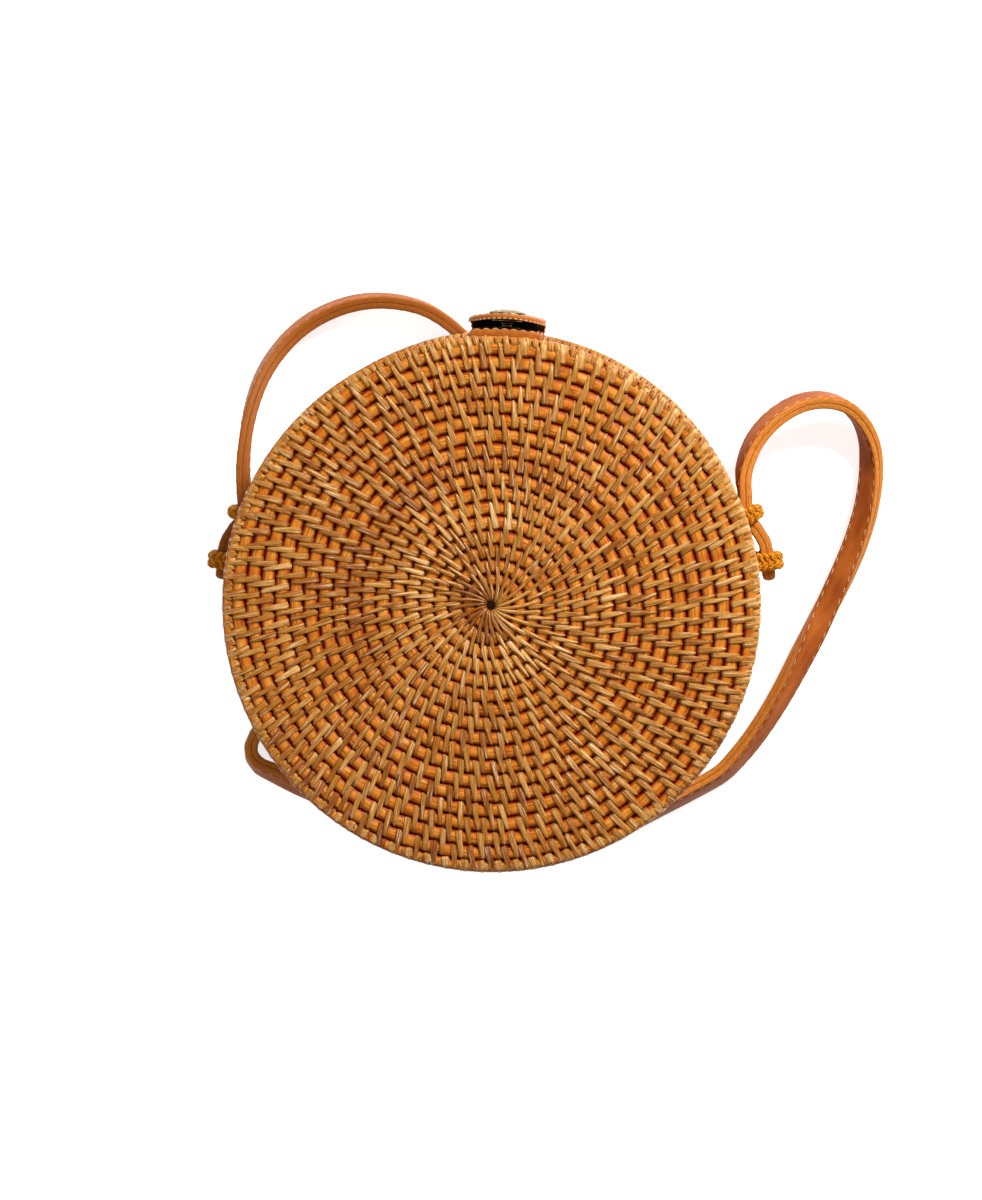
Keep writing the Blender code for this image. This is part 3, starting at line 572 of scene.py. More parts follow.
# %% Tables for the stitches of the discs
STATIONS = np.array([-1.02, -0.94, -0.82, -0.44, 0.0, 0.44, 0.84, 0.96, 1.04])
STITCH_LIFT = np.array([-2.3, -1.05, 0.10, 0.74, 0.52, 0.80, 0.22, -1.05, -2.4])
STITCH_HALF = np.array([0.36, 0.48, 0.62, 0.84, 1.04, 1.24, 1.42, 1.40, 1.20])
STITCH_THICK = 0.74
FULL_ROOM = 5.9     # a stitch with at least this space from its neighbour has its full width
NARROWEST = 0.62    # width of the most crowded stitch, as a share of the full one
OFF_MIDDLE = 1.5    # how far the middle groove may lie outside the middle of a stitch
HUB_HOLE = 1.3
HUB_TUCK = 0.3      # how far the first stitches dive inside the hub's circle
HUB_HALF = np.array([0.50, 0.62, 0.68, 0.70, 0.68, 0.62, 0.52, 0.42, 0.36])
HUB_LIFT = np.array([-2.3, -0.95, 0.15, 0.72, 0.78, 0.80, 0.62, 0.10, -0.9])
RIM_FROM = 98.8     # a stitch that starts further out than this comes over the rim
RIM_END = RIM_START + RIM_ROLL * math.pi / 2 + 1.2
OVER_RIM_LIFT = np.array([-0.6, -0.1, 0.25, 0.50, 0.62, 0.62, 0.62, 0.62, 0.62])
WRAPS_FROM = 17.82
WRAP_HALF = 1.55
WRAP_LIFT = np.array([-0.6, -0.1, 0.18, 0.30, 0.36, 0.40, 0.30, -0.6, -2.0])
print(len(STATIONS), "stations; the last row ends", round(RIM_END - RIM_START, 1),
      "mm past the start of the rim")

# %% [markdown]
# All stitches of a disc are worked out at once, as arrays of (stitch, station). Each row of the
# tables is bent a little by random draws, which have fixed seeds, so that the bag is the same in
# every run.


# %% Stitches of the discs
def disc_stitches(places, rng):
    """All stitches of a disc. They follow the log spiral angle = start - tan(lean) ln(radius),
    which keeps the lean the same at every radius."""
    count = len(places)
    s = STATIONS[None]
    hub = places < HUB_ROW_END
    wrap = places > WRAPS_FROM
    outer = spiral(places + 1)
    inner = np.where(hub, HUB_RADIUS - HUB_TUCK,
                     np.maximum(spiral(places - 1), HUB_RADIUS - HUB_TUCK / 3))
    rim = outer > RIM_FROM
    outer = np.where(rim, RIM_END, outer)
    middle = np.where(hub, (outer + inner) / 2, spiral(places))
    middle = np.minimum(middle, (outer + inner) / 2 + OFF_MIDDLE)
    far = np.where(s < 0, (middle - outer)[:, None], (inner - middle)[:, None])
    path = np.maximum(middle[:, None] + far * s, HUB_HOLE)
    reach = np.clip(path, 2.0, 100.0)
    lean = math.tan(LEAN) * rng.normal(1.0, 0.22, count)[:, None]
    angle = COIL_ZERO + 2 * math.pi * places[:, None] - lean * np.log(reach / middle[:, None])
    room = np.gradient(places) * 2 * math.pi * np.clip(spiral(places), 9, 97)
    scale = np.clip(room / FULL_ROOM, NARROWEST, 1.0) * rng.uniform(0.86, 1.10, count)
    half = STITCH_HALF[None] * scale[:, None]
    half[hub] = HUB_HALF
    lift = STITCH_LIFT[None] + rng.normal(0, 0.07, (count, 1)) * (np.abs(STATIONS) < 0.9)
    lift = np.where(rim[:, None] & (s < -0.4), OVER_RIM_LIFT, lift)
    half[wrap] = WRAP_HALF * rng.uniform(0.85, 1.12, count)[wrap, None]
    lift[wrap] = WRAP_LIFT
    every_other = 0.12 * (np.arange(count) % 2)[:, None]
    lift = np.where(hub[:, None], HUB_LIFT[None] + every_other, lift)
    # Painted light: the tint grows with 0.06 sin(angle), so stitches on the right of the disc are
    # paler and those on the left darker.
    tint = strip_tints(rng, count) + 0.08 * wrap + 0.06 * np.sin(angle[:, 4])
    path, angle, lift, half, reach, tint = (part[inner < RIM_START] for part in (
        path, angle, lift, half, reach, tint))
    return strips(on_disc, path, angle, lift, half, STITCH_THICK, reach, tint)


for (side, body, move), seed in zip(HALVES, (11, 21)):
    places = stitch_places(np.random.default_rng(seed))
    shape = disc_stitches(places, np.random.default_rng(seed + 1))
    add_piece(f"{side}_stitches", on_half(move, shape), STITCH_CANE, body)

# %% [markdown]
# ## Side walls
#
# The wall's coils are stacked on the rim of the disc, seven to each half. Strips of paler cane
# roll over the rim side by side and hold the first of them. Below, the stitches are set so close
# that only small dark holes are left between them. The last coil of each half is bound with
# short wraps, because it is the lip that the other half closes on. Separate closed rings are
# enough here, because nobody can follow a spiral under such close stitches.

# %% Coils of the walls
WALL_COILS = 6
WALL_TOP = 5.0
WALL_PITCH = 5.0
WALL_MIDDLE = 96.2
WALL_HALF = 2.0
RING_STEPS = 180


def ring_coils(depths, half_height, half_width):
    """Closed rings, each a rounded square section at a depth below the front."""
    x, y = rounded_square()
    angle = circle(RING_STEPS)[None, :, None]
    height = -np.asarray(depths)[:, None, None] + half_height * y
    points = around(angle, WALL_MIDDLE + half_width * x, height)
    strand = triples(np.broadcast_to(angle * WALL_MIDDLE, points.shape[:3]), y * PITCH / 2, 0.0)
    return points, strand_faces(len(depths), RING_STEPS, COIL_RING, closed=True), strand


wall_depths = WALL_TOP + WALL_PITCH * (np.arange(WALL_COILS) + 0.5)
wall_shape = ring_coils(wall_depths, WALL_PITCH / 2, WALL_HALF)
for side, body, move in HALVES:
    add_piece(f"{side}_wall_coils", on_half(move, wall_shape), CORE_CANE, body,
              [f"{side}_side_wall"])

# %% [markdown]
# The wall's stitches use the same tables as the disc's, made flatter and more even. The rim's
# binding is a row of strips that lie side by side over the roll of the rim. Both are real strips
# and not bump, because the photograph shows the rim's outline as a row of small humps.

# %% Stitches of the walls
WALL_SPACING = 5.55
WALL_FIRST = 3.4    # depth at which the first row starts, under the rim's binding
WALL_LAST = 0.6     # how far the last row goes past its middle
WALL_THICK = 0.55
WALL_HALF_WIDTHS = 0.68 + 0.55 * STITCH_HALF    # more even along the strip than on the disc
WALL_LIFT = 0.8 * STITCH_LIFT
RIM_PATH = RIM_START + np.array([-1.4, -0.9, 0.0, 1.2, 2.4, 3.6, 5.2, 6.2, 6.8])
RIM_LIFT = np.array([-0.9, -0.2, 0.12, 0.20, 0.22, 0.22, 0.16, -0.4, -1.6])
RIM_SPACING = 2.8
RIM_HALF = 1.28
RIM_THICK = 0.5


def wall_stitches(rng):
    """Rows of strips down the wall, each row half a space further round than the last."""
    around_count = round(2 * math.pi * WALL_CROWN / WALL_SPACING)
    rows, columns = np.meshgrid(np.arange(WALL_COILS + 1), np.arange(around_count), indexing="ij")
    row, column = rows.ravel(), columns.ravel()
    count = len(row)
    s = STATIONS[None]
    middle = WALL_TOP + WALL_PITCH * row[:, None]
    upper = np.where(row[:, None] == 0, WALL_FIRST, middle - WALL_PITCH)
    lower = np.where(row[:, None] == WALL_COILS, middle + WALL_LAST, middle + WALL_PITCH)
    path = middle + np.where(s < 0, middle - upper, lower - middle) * s
    turn = (column + 0.5 * row + rng.normal(0, 0.05, count)) / around_count
    lean = math.tan(LEAN) * rng.normal(0.9, 0.2, count)[:, None]
    angle = 2 * math.pi * turn[:, None] + lean * (path - middle) / WALL_CROWN
    half = WALL_HALF_WIDTHS[None] * rng.uniform(0.9, 1.1, count)[:, None]
    lift = WALL_LIFT[None] + rng.normal(0, 0.05, (count, 1))
    reach = np.full_like(path, WALL_CROWN)
    return strips(on_wall, path, angle, lift, half, WALL_THICK, reach, strip_tints(rng, count))


def rim_binding(rng):
    """Strips side by side that roll over the rim and end in the first groove of the wall."""
    count = round(2 * math.pi * RIM_START / RIM_SPACING)
    path = np.repeat(RIM_PATH[None], count, axis=0)
    turn = (np.arange(count) + rng.normal(0, 0.07, count)) / count
    angle = 2 * math.pi * turn[:, None] - math.tan(LEAN) * (path - RIM_START) / RIM_START
    half = np.full_like(path, RIM_HALF) * rng.uniform(0.88, 1.08, count)[:, None]
    lift = RIM_LIFT + rng.normal(0, 0.05, (count, 1))
    reach = np.full_like(path, RIM_START)
    # Painted light: the strips are paler towards the upper right, where the light falls, and darker
    # towards the lower left.
    tint = strip_tints(rng, count) + 0.10 * np.cos(angle[:, 0] - math.radians(45)) - 0.10
    return strips(on_disc, path, angle, lift, half, RIM_THICK, reach, tint)


for (side, body, move), seed in zip(HALVES, (31, 32)):
    for part, shape in (("wall_stitches", wall_stitches(np.random.default_rng(seed))),
                        ("rim_binding", rim_binding(np.random.default_rng(seed + 20)))):
        add_piece(f"{side}_{part}", on_half(move, shape), WALL_CANE, body)

# %% [markdown]
# The lip is a coil of its own, a little flatter than the others, so that its wraps end just
# short of the other half's. Each wrap starts on the outside, goes over the lip and ends inside.
# The photograph doesn't show it, so it follows the way such baskets are usually bound.

# %% Mouth rims
LIP_DEPTH = 37.45
LIP_HALF_HEIGHT = 2.0
LIP_POWER = 0.7
LIP_WRAP = 0.40
LIP_WRAP_HALF = 1.55
LIP_WRAP_THICK = 0.4
LIP_SLANT = 0.012   # turn of a wrap about the bag for each radian over the lip
LIP_RADIUS = 2.2    # radius that turns the angle over the lip into a distance
LIP_SPACING = 3.35
LIP_STATIONS = 9


def on_lip(path, angle, lift):
    """Half way round the lip: radius = middle + (width + lift) c and height = -depth -
    (half height + lift) s, where c and s are the path's cosine and sine made squarer by a
    power of 0.7."""
    c, s = (np.sign(v) * np.abs(v) ** LIP_POWER for v in (np.cos(path), np.sin(path)))
    return around(angle, WALL_MIDDLE + 0.1 + (WALL_HALF + lift) * c,
                  -LIP_DEPTH - (LIP_HALF_HEIGHT + lift) * s)


def lip_wraps(rng):
    """Short wraps over the lip, from the outside to the inside."""
    count = round(2 * math.pi * WALL_MIDDLE / LIP_SPACING)
    path = np.linspace(-0.5, math.pi + 0.4, LIP_STATIONS)[None, :, None]
    turn = (np.arange(count) + rng.normal(0, 0.05, count)) / count
    angle = 2 * math.pi * turn[:, None, None] + LIP_SLANT * (path - 1.5)
    across = STRIP_RING[:, 0] * LIP_WRAP_HALF * rng.uniform(0.9, 1.06, count)[:, None, None]
    lift = LIP_WRAP + STRIP_RING[:, 1] * LIP_WRAP_THICK
    points = on_lip(path, angle + across / WALL_MIDDLE, lift)
    along = path * LIP_RADIUS + STRIP_GAP * np.arange(count)[:, None, None]
    strand = triples(along, across, strip_tints(rng, count)[:, None, None])
    return points, strand_faces(count, LIP_STATIONS, len(STRIP_RING)), strand


lip_shape = ring_coils([LIP_DEPTH], LIP_HALF_HEIGHT, WALL_HALF - 0.1)
for side, body, move in HALVES:
    add_piece(f"{side}_lip_coil", on_half(move, lip_shape), CORE_CANE, body,
              [f"{side}_mouth_rim"])
for (side, body, move), seed in zip(HALVES, (41, 42)):
    shape = lip_wraps(np.random.default_rng(seed))
    add_piece(f"{side}_lip_wraps", on_half(move, shape), WALL_CANE, body)

# %% [markdown]
# ## Leather
#
# Vegetable-tanned leather has a reddish brown face with fine pores, and its cut edges are
# lighter, nearly orange. The strap is two layers sewn together, so a thin dark line runs along
# the middle of each edge. For leather the strand attribute holds the distance along the piece,
# the distance across it and the place through its thickness. So one material can tell the face
# from the edge, and no second material slot is needed.


# %% Leather surface
def leather_surface(tree, place):
    """Mottled face colour, and the fine height of its pores and creases: noise + 0.7 * the
    distance to the border of a cell 0.55 mm wide."""
    cloud = noise(tree, stretched(tree, place, (0.06, 0.22, 0.22)), 1.0)
    colour = ramp(tree, cloud, [(0.28, 0.28, 0.055, 0.008), (0.50, 0.39, 0.092, 0.014),
                                (0.72, 0.49, 0.132, 0.022)])
    fine = noise(tree, stretched(tree, place, (1.0, 1.6, 1.6)), 1.6)
    pores = node(tree, "ShaderNodeTexVoronoi", {"Vector": place, "Scale": 1 / 0.55},
                 feature="DISTANCE_TO_EDGE").outputs["Distance"]
    return colour, maths(tree, "MULTIPLY_ADD", pores, 0.7, fine)


print("leather surface ready")

# %% [markdown]
# The thread of the strap is real geometry, but its holes and the crease between them are too small
# for that. Their shade is painted into the leather's colour instead, from the same pitch and place
# as the thread, so it meets it.

# %% Strap leather
STITCH_PITCH = 4.8
SEAM_ACROSS = 3.6   # distance of both seams from the middle of the strap
HOLE_FROM = 0.14    # place of a hole in its repeat, as a share of the pitch
ARCH_SHADE_END = 300.0   # running length at which the painted shade on the cut edges ends


def painted_seam_shade(tree, colour, along, aside):
    """Paints shade into the seam: a band along its crease, and a nearly black painted shadow for
    the hole at both ends of each dash. The distance to a hole is the root of (distance along)^2 +
    (distance aside)^2."""
    repeat = maths(tree, "FRACT", maths(tree, "DIVIDE", along, STITCH_PITCH))
    from_middle = maths(tree, "ABSOLUTE", maths(tree, "SUBTRACT", repeat, 0.5))
    to_hole = maths(tree, "MULTIPLY", maths(tree, "SUBTRACT", from_middle, HOLE_FROM), STITCH_PITCH)
    to_line = maths(tree, "SUBTRACT", aside, SEAM_ACROSS)
    gap = maths(tree, "SQRT", maths(tree, "ADD", maths(tree, "MULTIPLY", to_hole, to_hole),
                                    maths(tree, "MULTIPLY", to_line, to_line)))
    # Painted shadow: nearly black within 0.3 mm of each hole, fading out by 0.6 mm.
    colour = blend_colour(tree, between(tree, gap, 0.60, 0.30), colour, (0.05, 0.014, 0.006))
    # Painted shade: a darker band along the crease of the seam.
    crease = between(tree, maths(tree, "ABSOLUTE", to_line), 0.35, 0.10, 0.45)
    return blend_colour(tree, crease, colour, (0.16, 0.040, 0.014))


def strap_leather():
    """Sewn double leather: orange edges with a dark line, and a pricked seam on each face. The cut
    edges of the strap's left end and arch are painted darker, as painted shade."""
    made, tree, shader = new_material("strap_leather")
    strand, along, across, through = strand_parts(tree)
    colour, height = leather_surface(tree, strand)
    aside = maths(tree, "ABSOLUTE", across)
    fibres = noise(tree, stretched(tree, strand, (0.5, 0.0, 5.0)), 1.0)
    cut = ramp(tree, fibres, [(0.3, 0.36, 0.090, 0.012), (0.5, 0.56, 0.185, 0.026),
                              (0.7, 0.72, 0.300, 0.055)])
    # Painted shade: the cut edges are darkened up to a running length of 300 mm, on the strap's
    # left end and arch, and fade back by 360 mm.
    arch_shade = between(tree, along, ARCH_SHADE_END + 60.0, ARCH_SHADE_END, 0.66)
    cut = blend_colour(tree, arch_shade, cut, (0.17, 0.034, 0.005))
    layers = between(tree, maths(tree, "ABSOLUTE", through), 0.28, 0.06, 0.55)
    cut = blend_colour(tree, layers, cut, (0.16, 0.036, 0.006))
    colour = blend_colour(tree, between(tree, aside, 4.30, 4.50), colour, cut)
    colour = painted_seam_shade(tree, colour, along, aside)
    finish(tree, shader, Base_Color=colour, Roughness=0.52,
           Normal=bump(tree, height, 0.00010, 0.6), Specular_IOR_Level=0.18, Specular_Tint=WARM)
    return made


STRAP_LEATHER = strap_leather()
print("strap material:", STRAP_LEATHER.name)

# %% [markdown]
# The clasp is cut from the same leather. Under the flap there is only black with a thin gleam,
# which is shade, so the inner faces are painted glossy black as painted shade. A second material
# could do that, but the place through the thickness already tells which face is which.


# %% Clasp leather
def clasp_leather():
    """The same leather, with the side that faces the basket painted glossy black as painted shade.
    """
    made, tree, shader = new_material("clasp_leather")
    strand, _, _, through = strand_parts(tree)
    colour, height = leather_surface(tree, strand)
    fibres = noise(tree, stretched(tree, strand, (0.8, 0.8, 5.0)), 1.0)
    cut = ramp(tree, fibres, [(0.3, 0.27, 0.064, 0.008), (0.55, 0.41, 0.115, 0.014),
                              (0.75, 0.54, 0.180, 0.028)])
    side = maths(tree, "MULTIPLY", between(tree, through, 2.95, 2.75),
                 between(tree, through, 0.05, 0.30))
    colour = blend_colour(tree, side, colour, cut)
    # Painted shade: the inner face turns nearly black, and its roughness drops so that it gleams.
    inside = between(tree, through, 0.22, 0.06)
    colour = blend_colour(tree, inside, colour, (0.008, 0.006, 0.005))
    finish(tree, shader, Base_Color=colour,
           Roughness=maths(tree, "MULTIPLY_ADD", inside, -0.24, 0.44),
           Normal=bump(tree, height, 0.00009, 0.6), Specular_IOR_Level=0.16, Specular_Tint=WARM)
    return made


CLASP_LEATHER = clasp_leather()
print("clasp material:", CLASP_LEATHER.name)

# %% [markdown]
# ## Thread, cord and brass
#
# Thread and cord are spun from plies, which show as slanting lines. Modelling each ply would take
# thousands of faces for something half a millimetre wide, so a sine wave draws them, as a bump and
# as colour: painted shade in the grooves between the plies and a painted highlight on their crests.


# %% Thread and cord
def twisted(name, light, dark, pitch, slant, depth):
    """Cord or thread: the ply is half of 1 + sin(2 pi (along + slant * across) / pitch). Its colour
    runs from the dark colour in the grooves, as painted shade, to the light colour on the crests,
    as painted highlight.
    """
    made, tree, shader = new_material(name)
    strand, along, across, _ = strand_parts(tree)
    slanted = maths(tree, "ADD", along, maths(tree, "MULTIPLY", across, slant))
    wave = maths(tree, "SINE", maths(tree, "MULTIPLY", slanted, 2 * math.pi / pitch))
    ply = maths(tree, "MULTIPLY_ADD", wave, 0.5, 0.5)
    fuzz = maths(tree, "MULTIPLY_ADD", noise(tree, strand, 2.2), 0.8, 0.45)
    # Painted shade and highlight: dark where the ply wave is low, light where it is high.
    colour = blend_colour(tree, maths(tree, "MULTIPLY", ply, fuzz), dark, light)
    finish(tree, shader, Base_Color=colour, Roughness=0.60, Normal=bump(tree, ply, depth, 0.9),
           Specular_IOR_Level=0.20, Specular_Tint=WARM)
    return made


THREAD = twisted("thread", (0.80, 0.50, 0.26), (0.42, 0.20, 0.08), 0.9, 0.8, 0.00008)
TIE_CORD = twisted("tie_cord", (0.92, 0.400, 0.018), (0.46, 0.120, 0.004), 1.1, 0.9, 0.00016)
print("cords:", THREAD.name, TIE_CORD.name)

# %% [markdown]
# The press stud is antique brass: brown in some cloudy patches and rubbed bright in others. The
# brown part is also the duller one, so one noise drives both colour and roughness.


# %% Brass
def antique_brass():
    """Brass whose colour and roughness both follow one cloudy noise, with fine scratches."""
    made, tree, shader = new_material("antique_brass")
    strand = strand_parts(tree)[0]
    cloud = noise(tree, strand, 0.45, 5.0, 0.65)
    colour = ramp(tree, cloud, [(0.34, 0.055, 0.036, 0.016), (0.52, 0.21, 0.145, 0.062),
                                (0.72, 0.62, 0.480, 0.260)])
    scratch = noise(tree, stretched(tree, strand, (0.6, 6.0, 6.0)), 1.0, 2.0)
    finish(tree, shader, Base_Color=colour, Metallic=0.92,
           Roughness=maths(tree, "MULTIPLY_ADD", cloud, 0.30, 0.16),
           Normal=bump(tree, scratch, 0.00002, 0.5))
    return made


BRASS = antique_brass()
print("brass:", BRASS.name)

# %% [markdown]
# ## Round strands
#
# Cords, threads and the hinge's cane are tubes. Blender can bevel a curve into a tube, but a
# tube that is worked out here can carry the strand attribute, and can be squeezed flat.

# %% Tubes
TUBE_GAP = 29.0     # added to the strand of each further tube, so that no two look the same


def tubes(paths, reference, radius, ring=8, flat=1.0, tint=0.5):
    """Tubes along paths of shape (strand, station, xyz). A ring lies square to its path: side =
    path direction x reference and rise = side x path direction. The reference is a direction
    that the paths never run along, and flat squeezes the tubes towards it."""
    run = unit(np.gradient(paths, axis=1))
    side = unit(np.cross(run, reference))
    rise = np.cross(side, run)
    way = circle(ring)
    c, s = np.cos(way)[:, None], np.sin(way)[:, None]
    offset = side[:, :, None] * c + rise[:, :, None] * s * flat
    points = paths[:, :, None] + radius * offset
    length = running_length(paths) + TUBE_GAP * np.arange(len(paths))[:, None]
    strand = triples(length[..., None], way * radius, np.reshape(tint, (-1, 1, 1)))
    return points, strand_faces(len(paths), paths.shape[1], ring), strand


print("faces of a tube with 20 stations:", len(strand_faces(1, 20, 8)))

# %% [markdown]
# ## Strap
#
# The route of the strap was chosen along the photograph where it is seen, and in an easy curve
# under the bag. A row holds x and y, the lean of the strap and its lift: at lean 90 the strap
# stands on its edge and at 0 it lies flat, and at lift 1 it is as high as its ties. A Catmull-Rom
# curve goes through the rows, as it does in the CAD model. A simulated strap would fall differently
# from the photograph's, and it has to lie on the CAD model's own strap.

# %% Route of the strap
STRAP_WIDTH = 9.2
STRAP_THICK = 5.0
STRAP_CORNER = 0.7
SEAT = 99.1         # radius of the wall that ties and clasp sit on
TIED_HEIGHT = -60.0
UPPER_TIE, LOWER_TIE, TIP = 17.2, 6.8, 2.6
TIE_STANDOFF = 3.8
TIP_STANDOFF = 1.15 * TIE_STANDOFF
SPAN_STEPS = 12
route_rows = [
    (-97.3, 40.6, 90, 1.00), (-97.4, 48.0, 90, 0.98), (-97.1, 55.2, 93, 0.89),
    (-96.0, 65.0, 97, 0.74), (-93.8, 74.8, 101, 0.56), (-90.6, 83.4, 104, 0.38),
    (-86.0, 91.2, 106, 0.22), (-80.1, 98.2, 107, 0.10), (-72.9, 104.0, 107, 0.03),
    (-64.6, 108.3, 105, 0), (-55.7, 111.1, 103, 0), (-46.6, 112.1, 100, 0),
    (-37.3, 111.3, 97, 0), (-28.3, 108.8, 93, 0), (-20.1, 104.0, 90, 0),
    (-12.5, 97.5, 90, 0), (-3.0, 88.5, 90, 0), (13.0, 75.2, 90, 0), (30.0, 60.0, 90, 0),
    (47.0, 40.0, 90, 0), (58.0, 17.0, 90, 0), (60.0, -8.0, 90, 0), (52.0, -32.0, 90, 0),
    (35.0, -50.0, 90, 0), (12.0, -60.0, 90, 0), (-13.0, -60.0, 90, 0), (-36.0, -52.0, 90, 0),
    (-54.0, -43.5, 90, 0), (-65.0, -41.5, 90, 0), (-75.5, -43.0, 90, 0),
    (-84.5, -47.5, 90, 0), (-91.5, -53.7, 89, 0), (-96.2, -60.7, 87, 0),
    (-96.8, -66.2, 80, 0), (-93.7, -70.8, 68, 0), (-88.0, -73.7, 59, 0),
    (-79.0, -78.2, 56, 0), (-70.0, -82.4, 58, 0), (-60.0, -88.0, 60, 0),
    (-49.0, -94.7, 60, 0), (-36.0, -100.4, 60, 0), (-20.0, -104.9, 60, 0),
    (-3.0, -106.8, 60, 0), (14.0, -105.8, 60, 0), (30.0, -102.2, 60, 0), (43.0, -97.4, 61, 0),
    (53.0, -92.6, 62, 0), (63.0, -87.3, 62, 0), (75.7, -80.6, 62, 0), (87.8, -73.6, 61, 0),
    (94.5, -66.9, 57, 0), (100.5, -59.5, 53, 0), (105.9, -51.6, 50, 0),
    (110.8, -43.5, 46, 0), (115.3, -35.2, 40, 0), (119.7, -26.7, 28, 0),
    (124.1, -18.2, 13, 0), (128.2, -9.8, 0, 0), (132.2, -1.4, -10, 0), (136.1, 7.1, -20, 0),
    (139.7, 15.9, -27, 0), (142.2, 23.5, -32, 0), (144.2, 31.0, -38, 0),
    (145.7, 40.3, -42, 0), (146.1, 48.8, -48, 0), (145.2, 57.2, -63, 0.04),
    (141.9, 65.1, -79, 0.14), (136.0, 71.1, -90, 0.28), (127.6, 73.9, -102, 0.43),
    (118.6, 73.1, -110, 0.57), (110.5, 69.3, -113, 0.71), (103.8, 63.7, -114, 0.82),
    (99.0, 57.0, -111, 0.89), (96.2, 49.3, -105, 0.95), (95.6, 43.9, -99, 0.98),
    (96.0, 39.3, -94, 1.00)]
tie_humps = [(0.32, 1.10), (0.64, 0.60)]
print(len(route_rows), "rows between the ties")

# %% [markdown]
# The two ends follow the wall, standing off it at the ties. A lying strap rests on the table, and
# how high its middle is then depends on its lean, so the height is worked out and not written.


# %% Curve of the strap
def half_height(lean):
    """How far a rounded strap reaches above its middle at a lean: the larger of w sin + (t -
    corner) cos and (w - corner) sin + t cos, for the half width w and half thickness t."""
    rise, run = np.abs(np.sin(np.radians(lean))), np.abs(np.cos(np.radians(lean)))
    w, t = STRAP_WIDTH / 2, STRAP_THICK / 2
    return np.maximum(w * rise + (t - STRAP_CORNER) * run, (w - STRAP_CORNER) * rise + t * run)


def tied_points(side, lean):
    """The strap's end on one side, from its tip up to where it leaves the upper tie: x =
    radius cos(a) and y = radius sin(a), with humps between the ties."""
    span = UPPER_TIE - LOWER_TIE
    places = [(TIP, TIP_STANDOFF), (LOWER_TIE, TIE_STANDOFF)]
    places += [(LOWER_TIE + way * span, TIE_STANDOFF * out) for way, out in tie_humps]
    turn, standoff = np.array(places + [(UPPER_TIE, 0.0)]).T
    radius, turn = SEAT + STRAP_THICK / 2 + standoff, np.radians(turn)
    flat = np.ones(len(turn))
    return np.stack([side * radius * np.cos(turn), radius * np.sin(turn), TIED_HEIGHT * flat,
                     lean * flat], axis=1)


def strap_line():
    """Catmull-Rom curve through all rows as (x, y, z, lean): between b and c it is
    half of 2b + (c-a)t + (2a-5b+4c-d)t^2 + (3b-a-3c+d)t^3."""
    rows = np.array(route_rows, float)
    lying = TABLE + half_height(rows[:, 2])
    height = lying + rows[:, 3] * (TIED_HEIGHT - lying)
    free = np.stack([rows[:, 0], rows[:, 1], height, rows[:, 2]], axis=1)
    p = np.vstack([tied_points(-1, 90), free, tied_points(1, -90)[::-1]])
    p = np.vstack([2 * p[0] - p[1], p, 2 * p[-1] - p[-2]])
    a, b, c, d = (p[i:len(p) - 3 + i, None] for i in range(4))
    t = np.linspace(0, 1, SPAN_STEPS, endpoint=False)[None, :, None]
    line = 0.5 * (2 * b + (c - a) * t + (2 * a - 5 * b + 4 * c - d) * t ** 2
                  + (3 * b - a - 3 * c + d) * t ** 3)
    line = np.vstack([line.reshape(-1, 4), p[-2]])
    line[:, 2] = np.maximum(line[:, 2], TABLE + half_height(line[:, 3]))
    return line


line = strap_line()
strap_run = running_length(line[:, :3])
STRAP_LENGTH = strap_run[-1]
print("strap length:", round(STRAP_LENGTH), "mm")

# %% [markdown]
# At each place the strap has three directions of its own: along it, across it and out of its
# face. With them, a place on the strap is found from a running length and two distances, so the
# section, the thread and the ties can all be written as if the strap were straight.

# %% Directions on the strap
strap_along = unit(np.gradient(line[:, :3], strap_run, axis=0))
level = unit(np.cross((0, 0, 1), strap_along))
upward = np.cross(strap_along, level)
lean = np.radians(line[:, 3:])
strap_across = np.cos(lean) * level + np.sin(lean) * upward
strap_face = np.cross(strap_along, strap_across)


def along_strap(values, place):
    """Values of the route, such as its middle or its face direction, at running lengths."""
    return np.stack([np.interp(place, strap_run, values[:, k]) for k in range(3)], axis=-1)


def on_strap(place, across, out):
    """Middle + across * across direction + out * face direction, at a running length."""
    return (along_strap(line, place) + along_strap(strap_across, place) * across[..., None]
            + along_strap(strap_face, place) * out[..., None])


print("the strap's middle is", np.round(along_strap(line, STRAP_LENGTH / 2)), "mm")

# %% [markdown]
# The section has two layers that meet in a groove on each edge, rounded shoulders, and a shallow
# channel near each edge where the thread lies. The ends are cut round. The channel is real
# relief and not bump, because the light rakes over it on the long right run.

# %% Strap
quarter = np.array([(4.30, 0), (4.55, 0.2), (4.60, 0.6), (4.60, 1.8), (4.45, 2.2), (4.0, 2.48),
                    (3.85, 2.5), (3.6, 2.3), (3.35, 2.5), (1.8, 2.5), (0, 2.5)])
half_ring = np.vstack([quarter, (quarter * (-1, 1))[-2::-1]])
strap_ring = np.vstack([half_ring, (half_ring * (1, -1))[-2:0:-1]])
ROUND_EDGE = 1.8
tip_steps = np.array([0.05, 0.5, 1.2, 2.2, 3.3])
places = np.concatenate([tip_steps, np.linspace(4.6, STRAP_LENGTH - 4.6, 400),
                         STRAP_LENGTH - tip_steps[::-1]])
from_tip = np.minimum(np.minimum(places, STRAP_LENGTH - places), STRAP_WIDTH / 2)
narrow = np.sqrt(1 - (1 - from_tip / (STRAP_WIDTH / 2)) ** 2)
thin = np.sqrt(1 - (1 - np.minimum(from_tip, ROUND_EDGE) / ROUND_EDGE) ** 2)
points = on_strap(np.broadcast_to(places[:, None], (len(places), len(strap_ring))),
                  strap_ring[:, 0] * narrow[:, None], strap_ring[:, 1] * thin[:, None])
